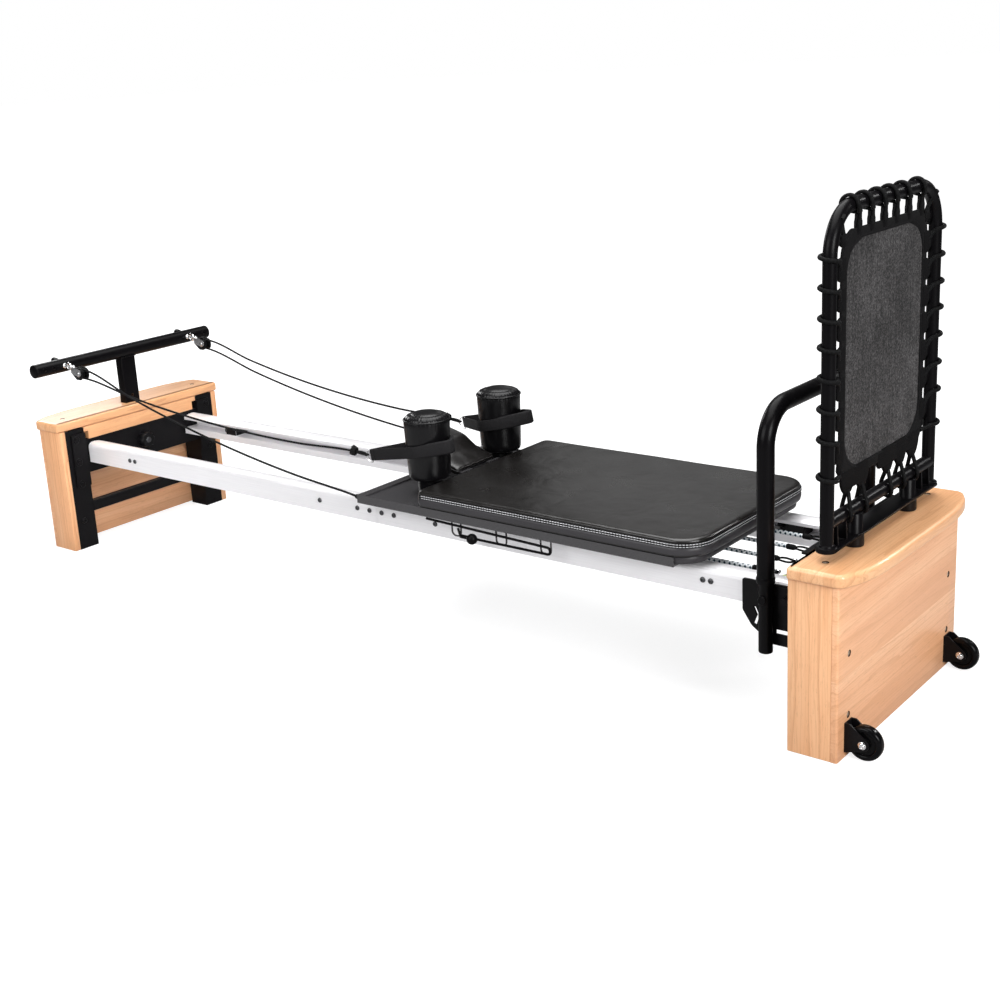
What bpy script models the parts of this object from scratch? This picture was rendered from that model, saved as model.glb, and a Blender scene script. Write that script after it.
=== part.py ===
"""Pilates reformer with a pulley bar at the head end and a standing rebounder at the foot end.

Metres, +Z up. +X points from the head end to the foot end, and -Y is the user's right-hand side
when lying on the carriage. The floor is z = 0. Every piece is its own closed solid.
"""

import math

import bmesh
import bpy
from mathutils import Matrix, Vector

# ---------------------------------------------------------------- driving dimensions
GAP = 0.0003                    # clearance between pieces that touch
MID_X = 0.0155                  # middle of the whole object, moved to x = 0 at the end

BOX_OUT = 1.218                 # outer face of each end box, from the middle of the rails
BOX_HALF_WIDTH = 0.285
BOX_TOP = 0.350
BOARD = 0.018                   # wooden board thickness
FOOT_IN, HEAD_IN = 1.116, -1.121
CAP_TOP = 0.376
CAP_HALF_WIDTH = 0.292
CAP_BOW = 0.040                 # how far a cap bows past the box at its middle
CAP_CORNER = 0.018              # plan radius of a cap's outer corners

LEG_INNER, LEG_OUTER = 0.205, 0.2665
LEG_DEPTH = 0.070
STEEL = 0.004                   # folded steel thickness

RAIL_IN, RAIL_OUT = 0.150, 0.200
RAIL_BOTTOM, TRACK, SLOT_TOP, RAIL_TOP = 0.247, 0.265, 0.290, 0.304
RAIL_WALL = 0.003
RAIL_HEAD_X, RAIL_FOOT_X = -1.1147, 1.1095
SPLICE_HALF = 0.187
STOP_FACE, STOP_LENGTH = 0.887, 0.043

BAR_X, BAR_Z, BAR_HALF, BAR_R = -1.165, 0.527, 0.311, 0.019
POST_X = (-1.179, -1.151)
POST_HALF_Y, POST_BOTTOM = 0.025, 0.222
KNOB_Z, KNOB_R = 0.265, 0.025
PULLEY_Y, EYE_X, EYE_Z = 0.221, -1.124, 0.529
SHEAVE_X, SHEAVE_Z, SHEAVE_R, SHEAVE_GROOVE = -1.069, 0.514, 0.0165, 0.0098

FOOTBAR_X, FOOTBAR_Y, FOOTBAR_PIVOT_Z = 1.040, 0.226, 0.275
FOOTBAR_LOW, FOOTBAR_COLLAR, FOOTBAR_TOP = 0.165, 0.310, 0.647
FOOTBAR_R, FOOTBAR_GRIP_R, FOOTBAR_BEND = 0.014, 0.017, 0.075
PIVOT_R = 0.006

REB_X, REB_HALF, REB_R, REB_BEND = 1.168, 0.234, 0.013, 0.085
REB_FOOT, REB_TOP, REB_LOWER = 0.397, 1.018, 0.449
REB_POST_Y, REB_POST_R, REB_POST_BOTTOM = 0.1235, 0.016, 0.300
MAT_HALF, MAT_LOW, MAT_HIGH, MAT_THICK = 0.190, 0.510, 0.976, 0.004

WHEEL_X, WHEEL_Y, WHEEL_Z, WHEEL_R, WHEEL_WIDTH = 1.254, 0.240, 0.0355, 0.035, 0.022
AXLE_R = 0.004

TRAY_HEAD, TRAY_FOOT, TRAY_HALF = -0.014, 0.848, 0.247
TRAY_LOW, TRAY_SKIRT, TRAY_FLOOR = 0.309, 0.329, 0.3255
TRAY_STEP = 0.1715
BOARD_FOOT, BOARD_HALF, BOARD_LOW, BOARD_HIGH = 0.890, 0.2435, 0.3130, 0.3295
CUSHION_HEAD, CUSHION_FOOT, CUSHION_HALF = 0.1725, 0.900, 0.248
CUSHION_LOW, CUSHION_TOP = 0.330, 0.366
SHOULDER_X, SHOULDER_Y = 0.1205, 0.135
ROLLER_XS, ROLLER_R, ROLLER_Y = (0.030, 0.872), 0.012, 0.173
HINGE_X, HINGE_Z, HEADREST_TILT = 0.160, 0.3575, math.radians(15)
STRAP_WIDTH, STRAP_THICK = 0.027, 0.003
STRAP_TILT = math.radians(11)

ROPE_R, ELASTIC_R = 0.0027, 0.004
ELASTIC_YS = (-0.108, -0.036, 0.040, 0.115)
ELASTIC_Z, ELASTIC_START, ELASTIC_END = 0.283, 0.100, 0.955

SIDES = {"right": -1, "left": 1}
ENDS = {"head": -1, "foot": 1}


# ---------------------------------------------------------------- scene and materials
def clear_scene():
    for item in list(bpy.data.objects):
        bpy.data.objects.remove(item)


def new_material(name, colour, roughness, metallic=0.0):
    made = bpy.data.materials.new(name)
    made.use_nodes = True
    shader = made.node_tree.nodes["Principled BSDF"]
    shader.inputs["Base Color"].default_value = (*colour, 1.0)
    shader.inputs["Roughness"].default_value = roughness
    shader.inputs["Metallic"].default_value = metallic
    return made


clear_scene()
PARTS = bpy.data.collections.new("pilates_reformer")
bpy.context.scene.collection.children.link(PARTS)

WOOD = new_material("wood", (0.72, 0.42, 0.22), 0.45)
BLACK_STEEL = new_material("black_steel", (0.012, 0.011, 0.012), 0.4)
ALUMINIUM = new_material("aluminium", (0.80, 0.79, 0.80), 0.3, 1.0)
VINYL = new_material("vinyl", (0.025, 0.024, 0.026), 0.4)
PLASTIC = new_material("plastic", (0.015, 0.015, 0.016), 0.5)
RUBBER = new_material("rubber", (0.02, 0.02, 0.02), 0.55)
WEBBING = new_material("webbing", (0.03, 0.03, 0.032), 0.8)
MESH = new_material("mesh", (0.045, 0.045, 0.046), 0.8)
CHROME = new_material("chrome", (0.8, 0.8, 0.8), 0.12, 1.0)
ELASTIC = new_material("elastic", (0.35, 0.36, 0.38), 0.7)


# ---------------------------------------------------------------- building blocks
def new_object(name, data):
    made = bpy.data.objects.new(name, data)
    PARTS.objects.link(made)
    return made


def mesh_object(name, work, centre=(0, 0, 0)):
    mesh = bpy.data.meshes.new(name)
    bmesh.ops.recalc_face_normals(work, faces=work.faces)
    work.to_mesh(mesh)
    work.free()
    made = new_object(name, mesh)
    made.location = centre
    return made


def box(name, low, high, bevel=0.0, segments=1):
    """A box between two opposite corners, with its sharp edges rounded by bevel."""
    low, high = Vector(low), Vector(high)
    work = bmesh.new()
    bmesh.ops.create_cube(work, size=1.0)
    bmesh.ops.scale(work, vec=high - low, verts=work.verts)
    made = mesh_object(name, work, (low + high) / 2)
    if bevel:
        add_bevel(made, bevel, segments)
    return made


def cylinder(name, start, end, radius, sides=20):
    """A solid cylinder from one point to another."""
    start, end = Vector(start), Vector(end)
    work = bmesh.new()
    bmesh.ops.create_cone(
        work, cap_ends=True, segments=sides, radius1=radius, radius2=radius,
        depth=(end - start).length,
    )
    turn = Vector((0, 0, 1)).rotation_difference(end - start).to_matrix()
    bmesh.ops.rotate(work, matrix=turn, verts=work.verts)
    return mesh_object(name, work, (start + end) / 2)


def add_bevel(thing, width, segments=1, angle=40):
    bevel = thing.modifiers.new("rounded_edges", "BEVEL")
    bevel.width = width
    bevel.segments = segments
    bevel.limit_method = "ANGLE"
    bevel.angle_limit = math.radians(angle)


def as_mesh(thing):
    """A curve or a modified object turned into a plain mesh object of the same name."""
    evaluated = thing.evaluated_get(bpy.context.evaluated_depsgraph_get())
    mesh = bpy.data.meshes.new_from_object(evaluated)
    work = bmesh.new()
    work.from_mesh(mesh)
    bmesh.ops.remove_doubles(work, verts=work.verts, dist=0.00001)
    bmesh.ops.recalc_face_normals(work, faces=work.faces)
    work.to_mesh(mesh)
    work.free()
    name, place = thing.name, thing.matrix_world.copy()
    bpy.data.objects.remove(thing)
    made = new_object(name, mesh)
    made.matrix_world = place
    return made


def combine(base, tools, operation):
    """The base object joined with, or cut by, every tool object, which are used up."""
    for tool in tools:
        step = base.modifiers.new(tool.name, "BOOLEAN")
        step.operation = operation
        step.solver = "EXACT"
        step.object = tool
    bpy.context.view_layer.update()
    made = as_mesh(base)
    for tool in tools:
        bpy.data.objects.remove(tool)
    return made


def join(base, *tools):
    return combine(base, tools, "UNION")


def cut(base, *tools):
    return combine(base, tools, "DIFFERENCE")


def tube(name, points, radius, resolution=3):
    """A round tube with closed ends along a list of points."""
    data = bpy.data.curves.new(name, "CURVE")
    data.dimensions = "3D"
    data.bevel_depth = radius
    data.bevel_resolution = resolution
    data.use_fill_caps = True
    spline = data.splines.new("POLY")
    spline.points.add(len(points) - 1)
    for point, place in zip(spline.points, points):
        point.co = (*place, 1.0)
    return as_mesh(new_object(name, data))


def plate(name, loops, low, high, axis="Z"):
    """Flat outlines, the first solid and the others holes, made thick from low to high on an axis.

    Outline points are (x, y) for Z, (x, z) for Y and (y, z) for X.
    """
    data = bpy.data.curves.new(name, "CURVE")
    data.dimensions = "2D"
    data.fill_mode = "BOTH"
    data.extrude = (high - low) / 2
    for loop in loops:
        spline = data.splines.new("POLY")
        spline.points.add(len(loop) - 1)
        spline.use_cyclic_u = True
        for point, place in zip(spline.points, loop):
            point.co = (*place, 0.0, 1.0)
    made = new_object(name, data)
    middle = (low + high) / 2
    turns = {
        "Z": Matrix.Identity(4),
        "Y": Matrix(((1, 0, 0, 0), (0, 0, -1, 0), (0, 1, 0, 0), (0, 0, 0, 1))),
        "X": Matrix(((0, 0, 1, 0), (1, 0, 0, 0), (0, 1, 0, 0), (0, 0, 0, 1))),
    }
    offset = {"Z": (0, 0, middle), "Y": (0, middle, 0), "X": (middle, 0, 0)}[axis]
    made.matrix_world = Matrix.Translation(offset) @ turns[axis]
    bpy.context.view_layer.update()
    return as_mesh(made)


def turned(name, profile, centre, steps=24):
    """A solid turned about the vertical through centre; profile runs top to bottom."""
    work = bmesh.new()
    points = [work.verts.new((radius, 0, height)) for radius, height in profile]
    for upper, lower in zip(points, points[1:]):
        work.edges.new((upper, lower))
    mesh = bpy.data.meshes.new(name)
    work.to_mesh(mesh)
    work.free()
    made = new_object(name, mesh)
    made.location = centre
    screw = made.modifiers.new("turn", "SCREW")
    screw.steps = screw.render_steps = steps
    screw.use_merge_vertices = True
    screw.merge_threshold = 0.00001
    screw.use_smooth_shade = True
    return made


def ring(name, centre, major, minor, axis, steps=14, sides=6):
    """A torus about an axis ('X', 'Y' or 'Z') through centre."""
    bpy.ops.mesh.primitive_torus_add(
        major_segments=steps, minor_segments=sides,
        major_radius=major, minor_radius=minor, location=centre,
        rotation={"X": (0, math.pi / 2, 0), "Y": (math.pi / 2, 0, 0), "Z": (0, 0, 0)}[axis],
    )
    made = bpy.context.object
    made.name = name
    for owner in list(made.users_collection):
        owner.objects.unlink(made)
    PARTS.objects.link(made)
    return made


def rounded(corners, steps=6):
    """A polygon whose corners, given as (x, y, radius), are rounded with arcs."""
    points = []
    for index, (x, y, radius) in enumerate(corners):
        here = Vector((x, y))
        before = Vector(corners[index - 1][:2]) - here
        after = Vector(corners[(index + 1) % len(corners)][:2]) - here
        if radius <= 0:
            points.append(tuple(here))
            continue
        half = before.angle(after) / 2
        reach = radius / math.tan(half)
        start, end = here + before.normalized() * reach, here + after.normalized() * reach
        middle = here + (before.normalized() + after.normalized()).normalized() * (
            radius / math.sin(half)
        )
        first, sweep = start - middle, (start - middle).angle_signed(end - middle)
        for step in range(steps + 1):
            arm = first.copy()
            arm.rotate(Matrix.Rotation(-sweep * step / steps, 2))
            points.append(tuple(middle + arm))
    return points


def bent_path(corners, bend, steps=8):
    """Points along a 3D polyline whose inner corners are rounded to a bend radius."""
    corners = [Vector(corner) for corner in corners]
    points = [corners[0]]
    for before, here, after in zip(corners, corners[1:], corners[2:]):
        back, ahead = (before - here).normalized(), (after - here).normalized()
        half = back.angle(ahead) / 2
        reach = bend / math.tan(half)
        middle = here + (back + ahead).normalized() * (bend / math.sin(half))
        start = here + back * reach
        turn_axis = back.cross(ahead)
        for step in range(steps + 1):
            spin = Matrix.Rotation(-(math.pi - 2 * half) * step / steps, 3, turn_axis)
            points.append(middle + spin @ (start - middle))
    points.append(corners[-1])
    return points


def smooth_route(knots, spacing):
    """Points at even spacing along a smooth curve through unevenly spaced knots."""
    knots = [Vector(knot) for knot in knots]
    spans = [(b - a).length for a, b in zip(knots, knots[1:])]
    slopes = [(b - a) / span for a, b, span in zip(knots, knots[1:], spans)]
    inner = [
        (before * far + after * near) / (near + far)
        for before, after, near, far in zip(slopes, slopes[1:], spans, spans[1:])
    ]
    tangents = [slopes[0]] + inner + [slopes[-1]]
    dense = []
    for a, b, leave, arrive, span in zip(knots, knots[1:], tangents, tangents[1:], spans):
        steps = max(4, round(span / 0.001))
        for step in range(steps):
            t = step / steps
            dense.append(
                (2 * t ** 3 - 3 * t * t + 1) * a + (t ** 3 - 2 * t * t + t) * span * leave
                + (3 * t * t - 2 * t ** 3) * b + (t ** 3 - t * t) * span * arrive
            )
    dense.append(knots[-1])
    lengths = [(q - p).length for p, q in zip(dense, dense[1:])]
    count = max(2, round(sum(lengths) / spacing))
    step, points, travelled, target = sum(lengths) / count, [dense[0]], 0.0, 1
    for point, following, length in zip(dense, dense[1:], lengths):
        while target < count and travelled + length >= target * step:
            share = (target * step - travelled) / length
            points.append(point.lerp(following, share))
            target += 1
        travelled += length
    points.append(dense[-1])
    return points


def finish(thing, material, origin=None, smooth=35):
    """Gives a piece its material, its shading and, where it turns, an origin on its axis."""
    if thing.type == "MESH":
        thing.data.materials.clear()
        thing.data.materials.append(material)
        thing.data.shade_smooth()
        thing.data.set_sharp_from_angle(angle=math.radians(smooth))
    if origin is not None:
        bpy.context.view_layer.update()
        shift = Matrix.Translation(origin)
        thing.data.transform(shift.inverted() @ thing.matrix_world)
        thing.matrix_world = shift
    return thing


def mirror_y(points, side):
    return [(x, side * y, z) for x, y, z in points]


# ---------------------------------------------------------------- wooden end boxes
def cap_outline(inner_x, outward):
    """A cap's plan: straight towards the carriage, bowed away from it, with rounded corners."""
    def bowed(y):
        return CAP_BOW * (1 - (abs(y) / 0.30) ** 5.5)

    def outer(y):
        return outward * (BOX_OUT + bowed(y)), y

    ys = [CAP_HALF_WIDTH * math.sin(math.radians(angle)) for angle in range(-60, 61, 12)]
    return rounded(
        [(inner_x, CAP_HALF_WIDTH, 0), (inner_x, -CAP_HALF_WIDTH, 0)]
        + [(*outer(-CAP_HALF_WIDTH), CAP_CORNER)]
        + [(*outer(y), 0) for y in ys]
        + [(*outer(CAP_HALF_WIDTH), CAP_CORNER)]
    )


def end_boxes():
    for end, outward in ENDS.items():
        inner = FOOT_IN if end == "foot" else HEAD_IN
        near, far = sorted((inner, outward * BOX_OUT))
        for side, sign in SIDES.items():
            ys = sorted((sign * (BOX_HALF_WIDTH - BOARD), sign * BOX_HALF_WIDTH))
            board = box(f"{end}_side_board_{side}", (near, ys[0], 0), (far, ys[1], BOX_TOP),
                        0.003, 2)
            finish(board, WOOD)
        panel_far = outward * (BOX_OUT - 0.001)
        low, high = sorted((panel_far, panel_far - outward * BOARD))
        half = BOX_HALF_WIDTH - BOARD - GAP
        finish(box(f"{end}_end_panel", (low, -half, 0.008), (high, half, BOX_TOP - GAP)), WOOD)

    foot_cap = plate("foot_cap", [cap_outline(FOOT_IN, 1)], BOX_TOP + GAP, CAP_TOP)
    add_bevel(foot_cap, 0.006, 2, 60)
    holes = [
        cylinder(f"hole_{side}", (REB_X + 0.003, sign * REB_POST_Y, 0.3),
                 (REB_X + 0.003, sign * REB_POST_Y, 0.4), REB_POST_R + 0.0006, 24)
        for side, sign in SIDES.items()
    ]
    finish(cut(foot_cap, *holes), WOOD)

    head_cap = plate("head_cap", [cap_outline(HEAD_IN, -1)], BOX_TOP + GAP, CAP_TOP)
    add_bevel(head_cap, 0.006, 2, 60)
    room = 0.0006
    slot = box("slot", (POST_X[0] - room, -POST_HALF_Y - room, 0.3),
               (POST_X[1] + room, POST_HALF_Y + room, 0.4))
    finish(cut(head_cap, slot), WOOD)

    steps = [(-0.204, 0.3365), (-0.190, 0.3365), (-0.190, 0.3125), (0.190, 0.3125),
             (0.190, 0.3365), (0.204, 0.3365), (0.204, BOX_TOP - GAP), (-0.204, BOX_TOP - GAP)]
    apron = plate("head_apron", [steps], HEAD_IN - BOARD, HEAD_IN, "X")
    finish(apron, WOOD)


# ---------------------------------------------------------------- steel frame and rails
def leg(end, side):
    """A folded channel leg with the rail's mounting plate and its bolts."""
    outward, sign = ENDS[end], SIDES[side]
    face = FOOT_IN if end == "foot" else HEAD_IN
    back = face + outward * LEG_DEPTH
    skin = face + outward * STEEL
    outline = [
        (face, LEG_INNER), (face, LEG_OUTER), (back, LEG_OUTER), (back, LEG_OUTER - STEEL),
        (skin, LEG_OUTER - STEEL), (skin, LEG_INNER + STEEL), (back, LEG_INNER + STEEL),
        (back, LEG_INNER),
    ]
    body = plate(f"{end}_leg_{side}", [[(x, sign * y) for x, y in outline]], 0.0, 0.348)
    ys = sorted((sign * 0.2055, sign * 0.252))
    xs = sorted((face - outward * 0.006, face + outward * 0.002))
    mount = box("mount", (xs[0], ys[0], 0.181), (xs[1], ys[1], 0.335), 0.0)
    bolts = [
        cylinder(f"bolt_{height}", (face + outward * 0.002, sign * 0.238, height),
                 (face - outward * 0.010, sign * 0.238, height), 0.007, 6)
        for height in (0.320, 0.255, 0.190)
    ]
    finish(join(body, mount, *bolts), BLACK_STEEL)


def cross_members():
    half = LEG_INNER - GAP
    web = HEAD_IN - 0.003
    # Upper head channel: a web facing the carriage with two flanges behind it.
    section = [
        (web, 0.215), (web, 0.311), (web - 0.020, 0.311), (web - 0.020, 0.311 - STEEL),
        (web - STEEL, 0.311 - STEEL), (web - STEEL, 0.215 + STEEL),
        (web - 0.020, 0.215 + STEEL), (web - 0.020, 0.215),
    ]
    channel = plate("head_channel", [section], -half, half, "Y")
    bore = cylinder("bore", (web - 0.02, 0, KNOB_Z), (web + 0.02, 0, KNOB_Z), 0.0046, 16)
    finish(cut(channel, bore), BLACK_STEEL)

    for end, outward in ENDS.items():
        face = FOOT_IN if end == "foot" else HEAD_IN
        xs = sorted((face + outward * 0.001, face + outward * 0.021))
        bar = box(f"{end}_crossbar", (xs[0], -half, 0.100), (xs[1], half, 0.131), 0.002)
        finish(bar, BLACK_STEEL)

    # Foot channel: holds the elastic cords' hooks, and the sockets of the rebounder's posts.
    front, back = 1.1035, FOOT_IN - GAP
    body = box("foot_channel", (back - STEEL, -0.2045, 0.307), (back, 0.2045, 0.374))
    tongue = box("tongue", (back - STEEL + 0.0005, -0.146, 0.255), (back - 0.0005, 0.146, 0.310))
    lip = box("lip", (front, -0.2045, 0.370), (back - 0.001, 0.2045, 0.374))
    ledge = box("ledge", (back - 0.003, -0.150, 0.343), (REB_X, 0.150, 0.348))
    sockets = [
        cylinder(f"socket_{side}", (REB_X + 0.003, sign * REB_POST_Y, 0.296),
                 (REB_X + 0.003, sign * REB_POST_Y, 0.3485), REB_POST_R + 0.0040, 24)
        for side, sign in SIDES.items()
    ]
    bores = [
        cylinder(f"bore_{side}", (REB_X + 0.003, sign * REB_POST_Y, 0.29),
                 (REB_X + 0.003, sign * REB_POST_Y, 0.36), REB_POST_R + 0.0006, 24)
        for side, sign in SIDES.items()
    ]
    finish(cut(join(body, tongue, lip, ledge, *sockets), *bores), BLACK_STEEL)


def rail_section(sign):
    """An extrusion: a closed lower box whose top is the track, and a C that hoods the rollers."""
    crown = [(0.200, 0.291), (0.1985, 0.2965), (0.1945, 0.301), (0.187, 0.3035),
             (0.178, RAIL_TOP), (0.163, 0.3018), (RAIL_IN, 0.297)]
    hood = [(RAIL_IN, SLOT_TOP), (0.153, SLOT_TOP), (0.153, 0.2945), (0.164, 0.2985),
            (0.178, 0.3008), (0.186, 0.3004), (0.1925, 0.298), (0.1960, 0.2945),
            (0.197, 0.290), (0.197, TRACK), (RAIL_IN, TRACK)]
    outer = [(RAIL_IN, RAIL_BOTTOM), (RAIL_OUT, RAIL_BOTTOM)] + crown + hood
    hollow = [
        (RAIL_IN + RAIL_WALL, RAIL_BOTTOM + RAIL_WALL), (RAIL_OUT - RAIL_WALL, RAIL_BOTTOM + RAIL_WALL),
        (RAIL_OUT - RAIL_WALL, TRACK - RAIL_WALL), (RAIL_IN + RAIL_WALL, TRACK - RAIL_WALL),
    ]
    return [[(sign * y, z) for y, z in loop] for loop in (outer, hollow)]


def stop_block(name, start, sign):
    """A rubber stop that fills the roller slot."""
    ys = sorted((sign * 0.1535, sign * 0.1963))
    return box(name, (start, ys[0], TRACK + GAP), (start + STOP_LENGTH, ys[1], 0.2925), 0.001)


def rails():
    for side, sign in SIDES.items():
        section = rail_section(sign)
        head = plate(f"rail_head_{side}", section, RAIL_HEAD_X, -GAP, "X")
        ys = sorted((sign * 0.152, sign * 0.1975))
        stop = box("stop", (-STOP_FACE - STOP_LENGTH, ys[0], TRACK - 0.001),
                   (-STOP_FACE, ys[1], 0.2885))
        finish(join(head, stop), ALUMINIUM)
        finish(plate(f"rail_foot_{side}", section, GAP, RAIL_FOOT_X, "X"), ALUMINIUM)
        finish(stop_block(f"rail_stop_{side}", STOP_FACE, sign), RUBBER)
        ys = sorted((sign * 0.1937, sign * 0.1967))
        splice = box(f"rail_splice_{side}", (-SPLICE_HALF, ys[0], 0.2665),
                     (SPLICE_HALF, ys[1], 0.2885))
        finish(splice, BLACK_STEEL)


# ---------------------------------------------------------------- pulley bar
def pulley_bar():
    bar = cylinder("pulley_bar", (BAR_X, -BAR_HALF, BAR_Z), (BAR_X, BAR_HALF, BAR_Z), BAR_R, 24)
    post = box("post", (POST_X[0], -POST_HALF_Y, POST_BOTTOM),
               (POST_X[1], POST_HALF_Y, BAR_Z), 0.0)
    extras = []
    for side, sign in SIDES.items():
        y = sign * PULLEY_Y
        extras.append(cylinder(f"shank_{side}", (BAR_X, y, EYE_Z), (EYE_X - 0.008, y, EYE_Z),
                               0.0035, 10))
        extras.append(ring(f"eye_{side}", (EYE_X, y, EYE_Z), 0.009, 0.0026, "Y"))
        extras.append(cylinder(f"nut_{side}", (BAR_X, y, EYE_Z + 0.005),
                               (BAR_X - 0.034, y, EYE_Z + 0.005), 0.009, 12))
    whole = join(bar, post, *extras)
    pin_hole = cylinder("pin_hole", (-1.2, 0, 0.397), (-1.1, 0, 0.397), 0.0045, 12)
    finish(cut(whole, pin_hole), BLACK_STEEL, (BAR_X, 0, CAP_TOP))

    web = HEAD_IN - 0.003
    knob = cylinder("height_knob", (web + GAP, 0, KNOB_Z), (web + 0.026, 0, KNOB_Z), KNOB_R, 20)
    add_bevel(knob, 0.004, 2)
    screw = cylinder("screw", (POST_X[1] + 0.0004, 0, KNOB_Z), (web + 0.01, 0, KNOB_Z), 0.004, 16)
    finish(join(as_mesh(knob), screw), PLASTIC, (web, 0, KNOB_Z))


def pulley(side):
    """A swivelling block: two cheeks joined behind the sheave, hung on a ring through the eye."""
    y = SIDES[side] * PULLEY_Y
    ring_x = EYE_X + 0.009
    outline = rounded([
        (-1.100, SHEAVE_Z + 0.014, 0.004), (-1.100, SHEAVE_Z + 0.000, 0.004),
        (-1.080, SHEAVE_Z - 0.017, 0.008), (-1.052, SHEAVE_Z - 0.017, 0.012),
        (-1.052, SHEAVE_Z + 0.013, 0.012), (-1.080, SHEAVE_Z + 0.018, 0.008),
    ], 4)
    cheeks = plate(f"pulley_block_{side}", [outline], y - 0.0125, y + 0.0125, "Y")
    room = box("room", (-1.0885, y - 0.0085, SHEAVE_Z - 0.04), (-1.0, y + 0.0085, SHEAVE_Z + 0.04))
    block = cut(cheeks, room)
    hanger = ring("hanger", (ring_x, y, EYE_Z), 0.009, 0.0026, "Z")
    neck = tube("neck", [(ring_x + 0.009, y, EYE_Z), (-1.094, y, EYE_Z - 0.009)], 0.0032, 2)
    pin = cylinder("pin", (SHEAVE_X, y - 0.011, SHEAVE_Z), (SHEAVE_X, y + 0.011, SHEAVE_Z),
                   0.003, 12)
    finish(join(block, hanger, neck, pin), CHROME, (ring_x, y, EYE_Z))

    half, lip, floor = 0.0070, 0.0055, 0.0032
    profile = [(SHEAVE_R, half), (SHEAVE_R, lip), (SHEAVE_GROOVE, floor),
               (SHEAVE_GROOVE, -floor), (SHEAVE_R, -lip), (SHEAVE_R, -half),
               (0.0034, -half), (0.0034, half), (SHEAVE_R, half)]
    wheel = turned(f"pulley_sheave_{side}", profile, (0, 0, 0), 16)
    wheel = as_mesh(wheel)
    wheel.data.transform(Matrix.Rotation(math.pi / 2, 4, "X"))
    wheel.location = (SHEAVE_X, y, SHEAVE_Z)
    finish(wheel, PLASTIC)


# ---------------------------------------------------------------- foot bar
def foot_bar():
    corners = [(FOOTBAR_X, -FOOTBAR_Y, FOOTBAR_COLLAR), (FOOTBAR_X, -FOOTBAR_Y, FOOTBAR_TOP),
               (FOOTBAR_X, FOOTBAR_Y, FOOTBAR_TOP), (FOOTBAR_X, FOOTBAR_Y, FOOTBAR_COLLAR)]
    grip = tube("foot_bar", bent_path(corners, FOOTBAR_BEND), FOOTBAR_GRIP_R, 5)
    pieces = []
    for side, sign in SIDES.items():
        y = sign * FOOTBAR_Y
        pieces.append(cylinder(f"lower_{side}", (FOOTBAR_X, y, FOOTBAR_LOW),
                               (FOOTBAR_X, y, FOOTBAR_COLLAR + 0.02), FOOTBAR_R, 16))
        pieces.append(cylinder(f"pivot_{side}", (FOOTBAR_X, y, FOOTBAR_PIVOT_Z),
                               (FOOTBAR_X, sign * 0.2025, FOOTBAR_PIVOT_Z), PIVOT_R, 16))
    finish(join(grip, *pieces), BLACK_STEEL, (FOOTBAR_X, 0, FOOTBAR_PIVOT_Z))

    for side, sign in SIDES.items():
        end = RAIL_FOOT_X
        outline = rounded([
            (0.980, 0.300, 0.004), (end, 0.300, 0), (end, 0.208, 0), (1.052, 0.208, 0),
            (1.052, 0.198, 0), (end, 0.198, 0), (end, 0.175, 0), (1.045, 0.175, 0.01),
            (1.000, 0.205, 0.03), (0.980, 0.235, 0.01),
        ], 3)
        slot = [(1.003, 0.2465), (1.009, 0.246), (1.0175, 0.229), (1.010, 0.2065),
                (1.004, 0.210), (1.0115, 0.2285)]
        ys = sorted((sign * 0.2035, sign * 0.2085))
        bracket = plate(f"foot_bar_bracket_{side}", [outline, slot], ys[0], ys[1], "Y")
        hole = cylinder("hole", (FOOTBAR_X, sign * 0.19, FOOTBAR_PIVOT_Z),
                        (FOOTBAR_X, sign * 0.22, FOOTBAR_PIVOT_Z), PIVOT_R + GAP, 16)
        bracket = cut(bracket, hole)
        ys = sorted((sign * 0.2075, sign * 0.2115))
        pad = box("pad", (1.058, ys[0], 0.243), (end - 0.001, ys[1], 0.297))
        spacer = cylinder("spacer", (1.075, sign * (RAIL_OUT + GAP), 0.272),
                          (1.075, sign * 0.205, 0.272), 0.009, 12)
        head = cylinder("bolt", (1.075, sign * 0.210, 0.272), (1.075, sign * 0.221, 0.272),
                        0.008, 6)
        finish(join(bracket, pad, spacer, head), BLACK_STEEL)


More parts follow.
